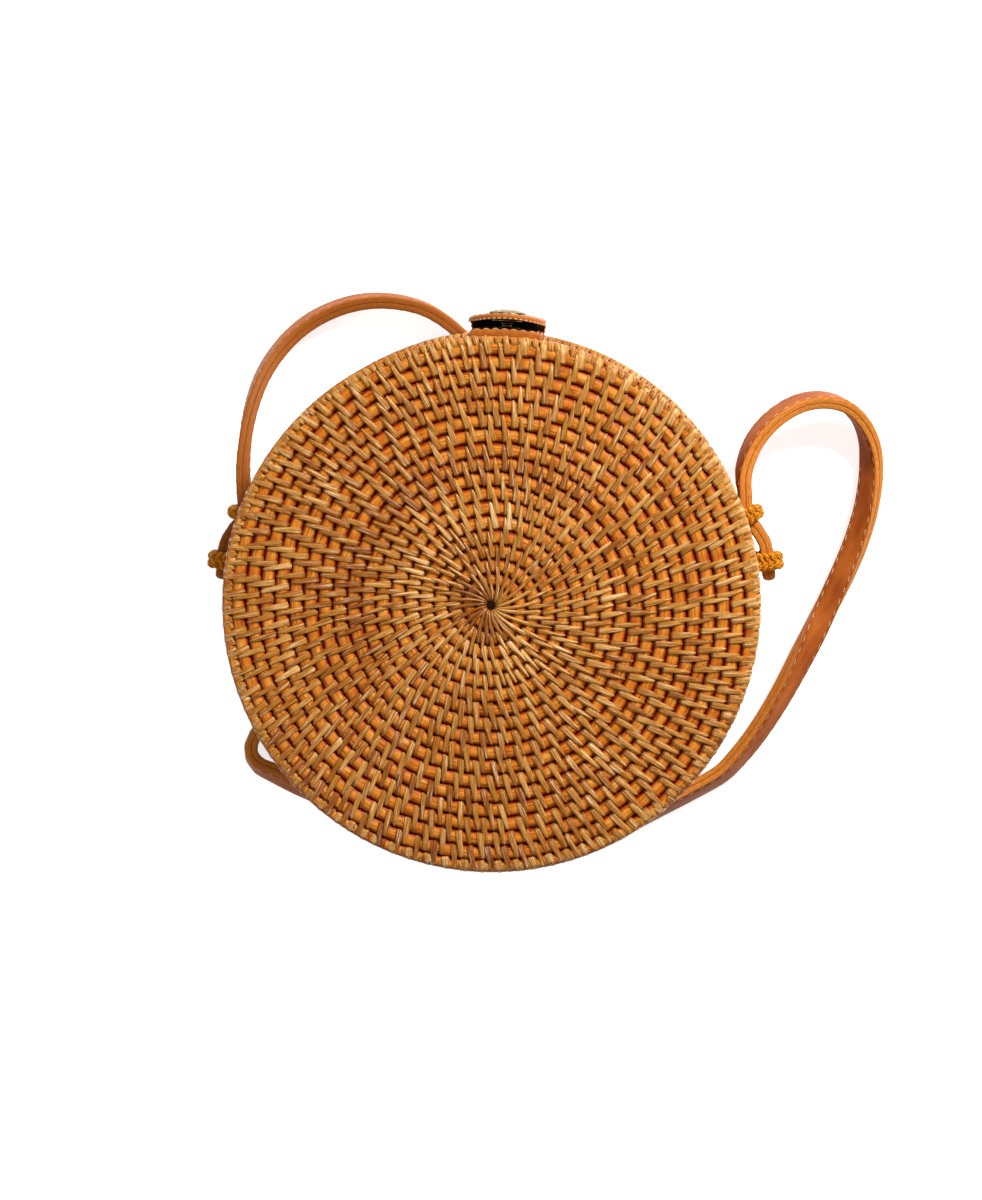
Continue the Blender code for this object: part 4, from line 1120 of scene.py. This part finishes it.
strand = triples(places[:, None], strap_ring[:, 0], strap_ring[:, 1])
STRAP_NODES = ["strap_left_arch", "strap_under_right", "strap_under_left", "strap_lower_curl",
               "strap_right_run", "strap_right_arch"]
add_piece("shoulder_strap", (points, strand_faces(1, len(places), len(strap_ring)), strand),
          STRAP_LEATHER, "back_half", STRAP_NODES)

# %% [markdown]
# The thread is sewn in dashes. Each one is a short tube that dives into a hole at both ends, and
# slants a little, as a saddle stitch does. A painted dash would be cheaper, but it would neither
# catch the light nor break the outline of the strap's face.

# %% Thread of the strap
DASH_HALF = 1.72
DASH_SLANT = 0.26
DASH_OUT = 2.26
DASH_DIP = np.array([-0.50, -0.12, -0.02, 0.0, -0.02, -0.12, -0.50])
THREAD_RADIUS = 0.38
UNSEWN_ENDS = 12.0


def seam_dashes():
    """Thread on both faces and near both edges: each dash dives into its two holes."""
    s = np.linspace(-1, 1, len(DASH_DIP))
    count = int((STRAP_LENGTH - UNSEWN_ENDS) / STITCH_PITCH)
    place = STITCH_PITCH * (1.5 + np.arange(count))[:, None] + DASH_HALF * s
    return np.concatenate([
        on_strap(place, np.broadcast_to(edge * SEAM_ACROSS + DASH_SLANT * s * face, place.shape),
                 np.broadcast_to(face * (DASH_OUT + DASH_DIP), place.shape))
        for face in (-1, 1) for edge in (-1, 1)])


slanting = unit(np.array((0.31, 0.17, 0.93)))
add_piece("strap_thread", tubes(seam_dashes(), slanting, THREAD_RADIUS, ring=5), THREAD,
          "back_half")

# %% [markdown]
# ## Ties
#
# Two plaited cords at each side hold the strap's ends to the wall. A plait of three strands
# follows x = A sin(t) and z = B sin(2t), with the strands a third of a turn apart. The plait
# runs up one side of the strap, across its face and down the other side into the wall. The
# strands are real tubes, because the photograph shows their humps in outline.

# %% Plaited ties
PLAIT_LATERAL = 2.5
PLAIT_RISE = 0.75
PLAIT_PERIOD = 7.0
CORD_RADIUS = 1.12
CORD_FOOT = 96.9    # radius at which the cords end, inside the wall
TIE_SIDE = 6.7
TIE_TOP = 4.6
TIE_BEND = 2.6
TIE_STEPS = 90
TIED_SLACK = 0.3    # the strap counts as tied where it is this near the height of its ties


def tie_path(leg):
    """The U that a tie follows round the strap, as (height offset, distance outwards), with
    its corners turned by a quarter circle, the direction square to it and its length."""
    turn = np.linspace(0, math.pi / 2, 8)
    bend = np.stack([-(TIE_SIDE - TIE_BEND) - TIE_BEND * np.cos(turn),
                     TIE_TOP - TIE_BEND + TIE_BEND * np.sin(turn)], axis=1)
    left = np.vstack([[(-TIE_SIDE, leg)], bend])
    whole = np.vstack([left, (left * (-1, 1))[::-1]])
    size = running_length(whole)
    way = np.linspace(0, size[-1], TIE_STEPS)
    path = np.stack([np.interp(way, size, whole[:, k]) for k in range(2)], axis=1)
    run = unit(np.gradient(path, axis=0))
    return path, np.stack([-run[:, 1], run[:, 0]], axis=1), way


def plaited_tie(name, side, degrees, phase):
    """One tie, laid on the strap where it passes an angle above the bag's side."""
    azimuth = np.degrees(np.arctan2(line[:, 1], line[:, 0] * side))
    tied = (np.abs(line[:, 2] - TIED_HEIGHT) < TIED_SLACK) & (line[:, 0] * side > 0)
    centre = strap_run[np.argmin(np.where(tied, np.abs(azimuth - degrees), np.inf))]
    middle = along_strap(line, centre)
    path, square, way = tie_path(CORD_FOOT - math.hypot(middle[0], middle[1]))
    turn = 2 * math.pi * way / PLAIT_PERIOD + phase + 2 * math.pi / 3 * np.arange(3)[:, None]
    place = centre + PLAIT_LATERAL * np.sin(turn)
    lifted = path[None] + PLAIT_RISE * np.sin(2 * turn)[..., None] * square
    outward = unit(np.cross((0, 0, 1), along_strap(strap_along, place)))
    outward *= np.sign(np.sum(outward * middle, axis=-1, keepdims=True))
    paths = along_strap(line, place) + lifted[..., :1] * (0, 0, 1) + lifted[..., 1:] * outward
    print(f"{name}: a plait {way[-1]:.0f} mm long")
    add_piece(name, tubes(paths, along_strap(strap_along, centre), CORD_RADIUS, ring=10),
              TIE_CORD, "back_half", [name.replace("plait", "tie")])


plaited_tie("plait_left_upper", -1, UPPER_TIE, 0.3)
plaited_tie("plait_left_lower", -1, LOWER_TIE, 1.4)
plaited_tie("plait_right_upper", 1, UPPER_TIE, 2.0)
plaited_tie("plait_right_lower", 1, LOWER_TIE, 0.9)

# %% [markdown]
# ## Clasp leather
#
# The flap and the tab are plates cut from thick leather. A plate is made of loops, one inside
# the other, that start at the middle of its inner face, go over its rounded edge and end at the
# middle of its outer face, so the groove for the seam follows the outline by itself. A bevelled
# outline would give the edge too, but not the groove.

# %% Leather plates
ALONG_FOOT = np.array([0.04, 0.30, 0.55, 0.80])     # places along a straight end
CORNER_CUT = 0.45
PLATE_STEP = 1.1


def plate(half, low, high, round_top, profile):
    """Loops of a plate as (across, height, out), each loop being a pair (inset, out) of the
    profile. The top is a half circle round (0, high) or a straight edge at high."""
    inset, out = np.array(profile).T
    h = (half - inset)[:, None]
    foot = (low + inset)[:, None]
    soft = CORNER_CUT * np.minimum(1, h / 4)
    flat = np.ones_like(ALONG_FOOT)
    xs, zs = [h * ALONG_FOOT, h - soft], [foot * flat, foot + soft]
    top = high * np.ones_like(h) if round_top else (high - inset)[:, None]
    rows = np.linspace(0, 1, max(6, int((high - low) / PLATE_STEP)))[1:-1]
    xs.append(h * np.ones_like(rows))
    zs.append(foot + (top - foot) * rows)
    if round_top:
        turn = np.radians(np.linspace(0, 88, 17))
        xs.append(h * np.cos(turn))
        zs.append(top + h * np.sin(turn))
    else:
        xs += [h - soft, h * ALONG_FOOT[::-1]]
        zs += [top - soft, top * flat]
    right = np.stack([np.hstack(xs), np.hstack(zs)], axis=-1)
    loop = np.concatenate([right, (right * (-1, 1))[:, ::-1]], axis=1)
    return loop[..., 0], loop[..., 1], np.broadcast_to(out[:, None], loop.shape[:2])


def plate_faces(loops, ring):
    """Quads between loops, and pairs of opposite points joined across the first and last."""
    faces = [f for f in strand_faces(1, loops, ring) if len(f) == 4]
    k = np.arange(ring // 2 - 1)
    cap = np.stack([k, k + 1, ring - 2 - k, ring - 1 - k], axis=1)
    return faces + cap.tolist() + (cap + (loops - 1) * ring).tolist()


def edge_profile(half, thick):
    """From the middle of the inner face, over the edge, to the middle of the outer face."""
    inner = [(half - 0.3, 0), (9, 0), (5, 0), (1.6, 0), (0.5, 0.02), (0.14, 0.3), (0, 0.9)]
    outer = [(0, thick - 0.9), (0.12, thick - 0.4), (0.5, thick - 0.04), (1.7, thick),
             (1.95, thick - 0.16), (2.2, thick), (5, thick), (9, thick), (half - 0.3, thick)]
    return inner + outer


print("profile of a 3 mm plate has", len(edge_profile(13, 3)), "loops")

# %% [markdown]
# Both plates are bent on a chart of their own. The tab is flat on the wall. The flap leaves the
# wall in a smooth step over the mouth, so that it clears the tab and the press stud, and its
# sides hang a little lower than its middle, as leather does that is held at one point.

# %% Flap and tab
CLASP_TURN = math.radians(3.0)
TAB_THICK, FLAP_THICK = 3.6, 1.9
TAB_HALF, FLAP_HALF = 13.25, 13.45
TAB_LOW, TAB_HIGH = -36.4, -5.3
FOLD = -50.0
BEND_HEIGHT = 12.5
FLAP_STEP = 7.5
FLAP_ARCH = 1.1
SNAP_HEIGHT = -17.5
FLAP_ROOT = -72.2


def on_flap(across, height, out):
    """The flap leaves the wall above its fold: its inner radius grows by step w^2 (3 - 2w)
    while w goes from 0 to 1, and its sides hang lower than its middle."""
    way = np.clip((height - FOLD) / BEND_HEIGHT, 0, 1)
    radius = SEAT + FLAP_STEP * way ** 2 * (3 - 2 * way)
    tilt = np.arctan(FLAP_STEP / BEND_HEIGHT * 6 * way * (1 - way))
    arch = FLAP_ARCH * way * (across / FLAP_HALF) ** 2
    return around(across / SEAT + CLASP_TURN, radius - arch + out * np.cos(tilt),
                  height - out * np.sin(tilt))


def on_wall_patch(across, height, out):
    """Flat on the wall: the distance across becomes an angle."""
    return around(across / SEAT + CLASP_TURN, SEAT + out, height)


def leather_piece(name, chart, half, low, high, round_top, thick, body, nodes):
    """A plate bent on its chart. Its strand runs from 0 to 3 through any thickness."""
    across, height, out = plate(half, low, high, round_top, edge_profile(half, thick))
    shape = (chart(across, height, out), plate_faces(*across.shape),
             triples(height, across, out * 3.0 / thick))
    return add_piece(name, shape, CLASP_LEATHER, body, nodes)


FLAP_SHAPE = (on_flap, FLAP_HALF, FLAP_ROOT, SNAP_HEIGHT, True)
TAB_SHAPE = (on_wall_patch, TAB_HALF, TAB_LOW, TAB_HIGH, False)
flap = leather_piece("clasp_leather_flap", *FLAP_SHAPE, FLAP_THICK, None,
                     ["clasp_flap_root", "clasp_flap"])
leather_piece("clasp_leather_tab", *TAB_SHAPE, TAB_THICK, "lid", ["clasp_base_tab"])

# %% [markdown]
# A thread runs round both plates. On the outer face it lies in the seam groove, and at the edge
# that faces the viewer it shows again as a row of small dots, where it goes down into the cane.
# Both are dashes along the plate's own outline, so they follow it wherever it bends.

# %% Clasp thread
SEAM = {"inset": 1.95, "pitch": 3.3, "long": 2.4, "dip": 0.42}
DOTS = {"inset": -0.02, "pitch": 1.9, "long": 0.9, "dip": 0.30}
DOTS_OUT = 0.50
SEAM_RADIUS, DOT_RADIUS = 0.30, 0.26
DASH_SUNK = 0.35


def outline_dashes(chart, half, low, high, round_top, out, inset, pitch, long, dip):
    """Dashes along a loop of a plate at an inset. Each is lifted by an arch in its middle:
    dip * (1 - |s|^3), with s from -1 to 1."""
    x, z, _ = plate(half, low, high, round_top, [(inset, 0.0)])
    loop = np.stack([x[0], z[0]], axis=1)
    loop = np.vstack([loop, loop[:1]])
    size = running_length(loop)
    count = int(size[-1] / pitch)
    s = np.linspace(-1, 1, 7)
    way = (np.arange(count)[:, None] + 0.5) * size[-1] / count + s * long / 2
    across, height = (np.interp(way, size, loop[:, k]) for k in range(2))
    lift = out + dip * (1 - np.abs(s) ** 3) - DASH_SUNK
    return chart(across, height, np.broadcast_to(lift, across.shape))


def joined(shapes):
    """Several shapes as one: each later shape's face numbers move up by the points before."""
    points, strand = (np.vstack([shape[k].reshape(-1, 3) for shape in shapes]) for k in (0, 2))
    faces, shift = [], 0
    for shape in shapes:
        faces += [[corner + shift for corner in face] for face in shape[1]]
        shift += shape[0].size // 3
    return points, faces, strand


CLASP_OUT = unit(np.array((math.sin(CLASP_TURN), math.cos(CLASP_TURN), 0.0)))
reference = unit(CLASP_OUT + (0.02, 0.01, 0.03))
threads = {}
for key, shape, thick in (("flap", FLAP_SHAPE, FLAP_THICK), ("tab", TAB_SHAPE, TAB_THICK)):
    seam = tubes(outline_dashes(*shape, thick, **SEAM), reference, SEAM_RADIUS, ring=6)
    dots = tubes(outline_dashes(*shape, DOTS_OUT, **DOTS), reference, DOT_RADIUS, ring=6)
    threads[key] = add_piece(f"clasp_{key}_thread", joined([seam, dots]), THREAD)
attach(threads["tab"], "lid")

# %% [markdown]
# The flap is one piece of leather, but the joint splits it: its root stays on the back half and its
# end turns. Here the leather and its thread only have their place written into their points, and
# ride on no body.

# %% Bake the flap's place
for piece in (flap, threads["flap"]):
    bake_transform(piece)
print("the flap folds", round(SEAT + FLAP_THICK, 1), "mm from the bag's middle")

# %% [markdown]
# ## Press stud
#
# A press stud is stamped and turned, so each of its four parts is a profile that is turned round
# an axis, which points out of the clasp. A profile holds distances from the axis and from the
# bag's middle.

# %% Press stud
TURN_STEPS = 40


def turned(profile):
    """Turns a profile of (distance from the axis, distance outwards) round the stud's axis:
    place = distance (cos w beside + sin w upward) + outwards + the stud's height."""
    rho, out = np.array(profile).T
    way = circle(TURN_STEPS)
    beside = np.array((CLASP_OUT[1], -CLASP_OUT[0], 0.0))
    spread = np.cos(way)[:, None] * beside + np.sin(way)[:, None] * np.array((0, 0, 1.0))
    points = (rho[:, None, None] * spread + out[:, None, None] * CLASP_OUT
              + np.array((0, 0, SNAP_HEIGHT)))
    strand = triples((way * 4)[None], rho[:, None], out[:, None])
    return points, strand_faces(1, len(profile), TURN_STEPS), strand


stud_pieces = [
    ("press_cap", "flap", "snap_cap",
     [(0.2, 110.10), (2.4, 110.02), (4.3, 109.74), (5.4, 109.38), (5.75, 109.20), (6.0, 109.24),
      (6.5, 109.12), (6.85, 108.88), (7.0, 108.60), (6.9, 108.3), (6.4, 108.1), (0.2, 108.1)]),
    ("press_socket", "flap", "snap_socket",
     [(0.2, 106.5), (5.3, 106.5), (5.5, 106.1), (5.5, 105.7), (5.2, 105.4), (3.2, 105.3),
      (2.7, 105.4), (2.6, 105.9), (0.2, 106.0)]),
    ("press_stud", "lid", "snap_stud",
     [(0.2, 102.6), (4.7, 102.6), (5.0, 103.0), (4.9, 103.35), (4.4, 103.5), (2.6, 103.52),
      (1.75, 103.7), (1.7, 104.2), (2.08, 104.6), (2.05, 104.85), (1.7, 105.0), (0.2, 105.0)]),
    ("press_post", "lid", "snap_post",
     [(0.2, 99.15), (3.7, 99.15), (4.0, 99.3), (3.95, 99.6), (3.5, 99.75), (1.6, 99.8),
      (1.6, 102.65), (0.2, 102.65)])]
for name, body, replaced, profile in stud_pieces:
    add_piece(name, turned(profile), BRASS, body, [replaced], sharp=50)

# %% [markdown]
# ## Hinge
#
# Cane strands are bent round the rod side by side, and their feet are bound flat on the wall.
# The middle bunch belongs to the lid, and the outer two belong to the back half. Each bunch is
# made of separate strands, because the light shows the lines between them.

# %% Strands of the hinge
HINGE_Y = -101.5
EYE_RADIUS = 1.78
EYE_TURN = 318
HINGE_STRAND = 0.60
FOOT_LENGTH = 22.6
FOOT_START = 2.0
FOOT_SLOPE = 6.0
BINDING_AT = np.array([8.5, 10.0, 11.5, 17.0, 18.5, 20.0])
BINDING_DIVE = 2.6


def hinge_strands(centre, width, way):
    """Strands that run along the wall, lift off it and curl round the rod: the foot goes from
    the wall's circle to the eye in an even slope, and the eye is y + r cos(a), z - r sin(a)."""
    count = round(width / (2 * HINGE_STRAND))
    x = centre + (np.arange(count) - (count - 1) / 2) * width / count
    foot = np.linspace(FOOT_LENGTH, FOOT_START, 10)
    wall = -np.sqrt((SEAT + 0.15) ** 2 - x[:, None] ** 2)
    near = np.clip((foot - FOOT_START) / FOOT_SLOPE, 0, 1)
    foot_y = (HINGE_Y + EYE_RADIUS) * (1 - near) + wall * near
    turn = np.radians(np.linspace(0, EYE_TURN, 22))
    eye_y = np.broadcast_to(HINGE_Y + EYE_RADIUS * np.cos(turn), (count, 22))
    z = np.concatenate([foot, -EYE_RADIUS * np.sin(turn)])
    return triples(x[:, None], np.hstack([foot_y, eye_y]), MOUTH + z * way)


def hinge_binding(centre, width, way):
    """Two bands of flat wraps across each foot, which dive into the wall beside it."""
    s = np.linspace(-1, 1, 11)
    x = centre + s * (width / 2 + 1.0)
    wall = np.sqrt((SEAT + 1.05) ** 2 - x ** 2) - BINDING_DIVE * (np.abs(s) > 0.95)
    return triples(x[None], -wall[None], (MOUTH + BINDING_AT * way)[:, None])


print("strands in the middle bunch:", len(hinge_strands(0.0, 12.0, 1)))

# %% [markdown]
# The rod is one thicker cane. Its ends are shrunk, which rounds them off. The way of a bunch is 1
# if its feet point to the front and -1 if they point to the back.

# %% Hinge
ROD_RADIUS = 1.1
ROD_ENDS = 0.6
BINDING_RADIUS, BINDING_FLAT, BINDING_TINT = 0.85, 0.45, 0.35
rod_path = triples(np.array([-17.7, -17.2, -16, -8, 0, 8, 16, 17.2, 17.7]), HINGE_Y, MOUTH)[None]
points, faces, strand = tubes(rod_path, (0, 0, 1), ROD_RADIUS, ring=16)
shrink = np.array([ROD_ENDS, 1, 1, 1, 1, 1, 1, 1, ROD_ENDS])[None, :, None, None]
points = rod_path[:, :, None] + (points - rod_path[:, :, None]) * shrink
add_piece("hinge_cane_rod", (points, faces, strand), HINGE_CANE, "back_half",
          ["hinge_rod"])
for name, centre, width, way, body in (("left", -11.3, 10.0, -1, "back_half"),
                                       ("right", 11.3, 10.0, -1, "back_half"),
                                       ("middle", 0.0, 12.0, 1, "lid")):
    strands = hinge_strands(centre, width, way)
    tints = 0.45 + 0.15 * np.sin(np.arange(len(strands)) * 2.4)
    add_piece(f"hinge_bunch_{name}", tubes(strands, (1, 0, 0), HINGE_STRAND, tint=tints),
              HINGE_CANE, body, [f"hinge_loop_{name}"])
    wraps = tubes(hinge_binding(centre, width, way), (0, 1, 0), BINDING_RADIUS,
                  flat=BINDING_FLAT, tint=BINDING_TINT)
    add_piece(f"hinge_binding_{name}", wraps, HINGE_CANE, body)

# %% [markdown]
# ## Lining
#
# Each half is lined with printed cotton: a round piece on the disc and a band round the wall,
# with its top turned over. The print is a plain repeat of small diamonds. An image could hold
# it, but worked out from the distance to a diamond's middle it stays sharp at any size.

# %% Lining cloth
PRINT_REPEAT = 14.0
YARN = 0.55


def lining_fabric():
    """Cotton with a small diamond print: how far a place is from its diamond's middle,
    |x| + |y|, picks the colour. The weave is sin(x) * sin(y) with one wave to each yarn."""
    made, tree, shader = new_material("lining_fabric")
    strand, along, across, _ = strand_parts(tree)

    def from_middle(value):
        """Distance from the middle of the repeat that a value lies in, as a share of it."""
        repeat = maths(tree, "FRACT", maths(tree, "DIVIDE", value, PRINT_REPEAT))
        return maths(tree, "ABSOLUTE", maths(tree, "SUBTRACT", repeat, 0.5))

    def yarns(value):
        """A sine wave with one period to each yarn."""
        return maths(tree, "SINE", maths(tree, "MULTIPLY", value, 2 * math.pi / YARN))

    wobble = maths(tree, "MULTIPLY_ADD", noise(tree, strand, 0.5), 0.10, -0.05)
    ring = maths(tree, "ADD", maths(tree, "ADD", from_middle(along), from_middle(across)), wobble)
    colour = ramp(tree, ring, [(0.0, 0.50, 0.13, 0.030), (0.12, 0.50, 0.13, 0.030),
                               (0.14, 0.66, 0.56, 0.40), (0.27, 0.66, 0.56, 0.40),
                               (0.29, 0.055, 0.10, 0.12), (0.40, 0.055, 0.10, 0.12),
                               (0.42, 0.66, 0.56, 0.40), (0.62, 0.66, 0.56, 0.40),
                               (0.64, 0.36, 0.20, 0.06), (0.80, 0.36, 0.20, 0.06)])
    weave = maths(tree, "MULTIPLY", yarns(along), yarns(across))
    weave = maths(tree, "MULTIPLY_ADD", weave, 0.5, 0.5)
    colour = blend_colour(tree, maths(tree, "MULTIPLY", weave, 0.22), colour, (0.10, 0.08, 0.06))
    finish(tree, shader, Base_Color=colour, Roughness=0.85,
           Normal=bump(tree, weave, 0.00008, 0.7), Sheen_Weight=0.2)
    return made


LINING = lining_fabric()
print("lining material:", LINING.name)

# %% [markdown]
# The floor cloth is a disc with a slight ripple towards its rim, where the glue pulls it. The
# band is a profile carried round the wall, slack in the middle and folded over at the top. A
# cloth simulation would give much the same, because the cloth is stretched on the cane.

# %% Shapes of the linings
FLOOR_RADIUS = 93.5
FLOOR_DEPTH = 5.75
BAND_RADIUS = 93.7
BAND_TOP = 38.4


def grid_faces(rows, columns):
    """Quads of a grid that closes on itself along its columns."""
    i, j = np.meshgrid(np.arange(rows - 1), np.arange(columns), indexing="ij")
    nxt = (j + 1) % columns
    return np.stack([i * columns + j, (i + 1) * columns + j, (i + 1) * columns + nxt,
                     i * columns + nxt], axis=-1).reshape(-1, 4).tolist()


def lining_floor(rows=30, columns=120):
    """A round cloth: its ripple is 0.16 (radius / rim)^3 sin(9a + 0.6 sin(4a))."""
    radius = np.linspace(1.0, FLOOR_RADIUS, rows)[:, None]
    angle = circle(columns)[None]
    ripple = 0.16 * (radius / FLOOR_RADIUS) ** 3 * np.sin(9 * angle + 0.6 * np.sin(4 * angle))
    points = around(angle, radius, -FLOOR_DEPTH + ripple)
    faces = grid_faces(rows, columns) + [list(range(columns))]
    return points, faces, triples(points[..., 0], points[..., 1], 0.0)


def lining_band(columns=200):
    """The band, and its width when it is laid flat: up the wall, over at the top, and a short
    hem behind. It hangs in by 0.25 slack (1 + sin(13a + sin(5a)))."""
    profile = np.array([(0, 6.3), (0, 12), (0, 18), (0, 24), (0, 30), (0, 35.5), (0, 37.9),
                        (0.12, 38.3), (0.3, BAND_TOP), (0.42, 38.2), (0.45, 36.2)])
    angle = circle(columns)[None]
    slack = np.sin(math.pi * np.clip((profile[:, 1] - 6) / 32, 0, 1))[:, None]
    ripple = -0.25 * slack * (1 + np.sin(13 * angle + np.sin(5 * angle)))
    points = around(angle, BAND_RADIUS - 0.35 + profile[:, :1] + ripple, -profile[:, 1:])
    run = running_length(profile)
    strand = triples(angle * BAND_RADIUS, run[:, None], 0.0)
    return (points, grid_faces(len(profile), columns), strand), run[-1]


floor_shape = lining_floor()
band_shape, band_width = lining_band()
print("the band is", round(band_width, 1), "mm wide")

# %% [markdown]
# Both cloths get their thickness from a modifier, which keeps the two faces of the cloth apart
# everywhere.

# %% Linings
CLOTH_THICK = 0.35


def cloth(name, shape, body, nodes=()):
    """A cloth with its thickness."""
    piece = add_piece(name, shape, LINING, body, nodes)
    solid = piece.modifiers.new("thickness", "SOLIDIFY")
    solid.thickness = CLOTH_THICK * MM
    solid.offset = 0.0


for side, body, move in HALVES:
    cloth(f"{side}_lining_floor", on_half(move, floor_shape), body,
          [f"{side}_lining"])
    cloth(f"{side}_lining_band", on_half(move, band_shape), body)

# %% [markdown]
# ## Floor
#
# The floor is plain and nearly white, and gives off a little light that only the camera and
# reflections see. So it stays white, as in the photograph, while the bag's shadow still falls on
# it. More lamp light would whiten it too, but it would bleach the cane.

# %% Floor
FLOOR_HALF = 4000.0
FLOOR_HEIGHT = TABLE - 0.3
FLOOR_GLOW = 0.76
floor_material, tree, _ = new_material("studio_floor")
white = node(tree, "ShaderNodeBsdfDiffuse", {"Color": (0.86, 0.86, 0.86)}).outputs[0]
seen = node(tree, "ShaderNodeLightPath").outputs
straight = maths(tree, "MAXIMUM", seen["Is Camera Ray"],
                 maths(tree, "MAXIMUM", seen["Is Glossy Ray"], seen["Is Transmission Ray"]))
strength = maths(tree, "MULTIPLY", straight, FLOOR_GLOW)
glow = node(tree, "ShaderNodeEmission", {"Color": (1, 1, 1), "Strength": strength}).outputs[0]
both = node(tree, "ShaderNodeAddShader", {0: white, 1: glow}).outputs[0]
plug(tree, tree.nodes["Material Output"].inputs["Surface"], both)
corners = [(x * FLOOR_HALF, y * FLOOR_HALF, FLOOR_HEIGHT)
           for x, y in ((-1, -1), (1, -1), (1, 1), (-1, 1))]
floor = add_piece("floor", (corners, [[0, 1, 2, 3]], None), floor_material)

# %% [markdown]
# ## Light
#
# The photograph is lit softly from the upper right, low enough for each stitch to throw a small
# shadow. One lamp does that. A wide weak one at the left lights the strap beside the bag, and
# the pale world fills the shadows.

# %% Lamps and world
LAMP_DISTANCE = 1500.0
WORLD_STRENGTH = 0.24


def disk_lamp(name, turn, height, size, power):
    """A round lamp at a clockwise angle from the top and a height above the floor, in degrees:
    x = cos(height) sin(turn), y = cos(height) cos(turn) and z = sin(height)."""
    turn, height = math.radians(turn), math.radians(height)
    data = bpy.data.lights.new(name, "AREA")
    data.shape = "DISK"
    data.size = size
    data.energy = power
    data.color = (1.0, 0.985, 0.96)
    lamp = bpy.data.objects.new(name, data)
    bpy.context.scene.collection.objects.link(lamp)
    lamp.location = np.array([math.cos(height) * math.sin(turn), math.cos(height) * math.cos(turn),
                              math.sin(height)]) * LAMP_DISTANCE * MM
    look_at(lamp, (0, 0, 0))


disk_lamp("key", 38, 34, 0.30, 33.0)
disk_lamp("fill", 258, 40, 0.9, 5.5)
world = bpy.data.worlds.new("studio")
world.use_nodes = True
finish(world.node_tree, world.node_tree.nodes["Background"], Color=(1.0, 1.0, 1.0),
       Strength=WORLD_STRENGTH)
bpy.context.scene.world = world
bpy.context.scene.view_settings.view_transform = "Standard"
print("lamps:", [lamp.name for lamp in bpy.data.lights])
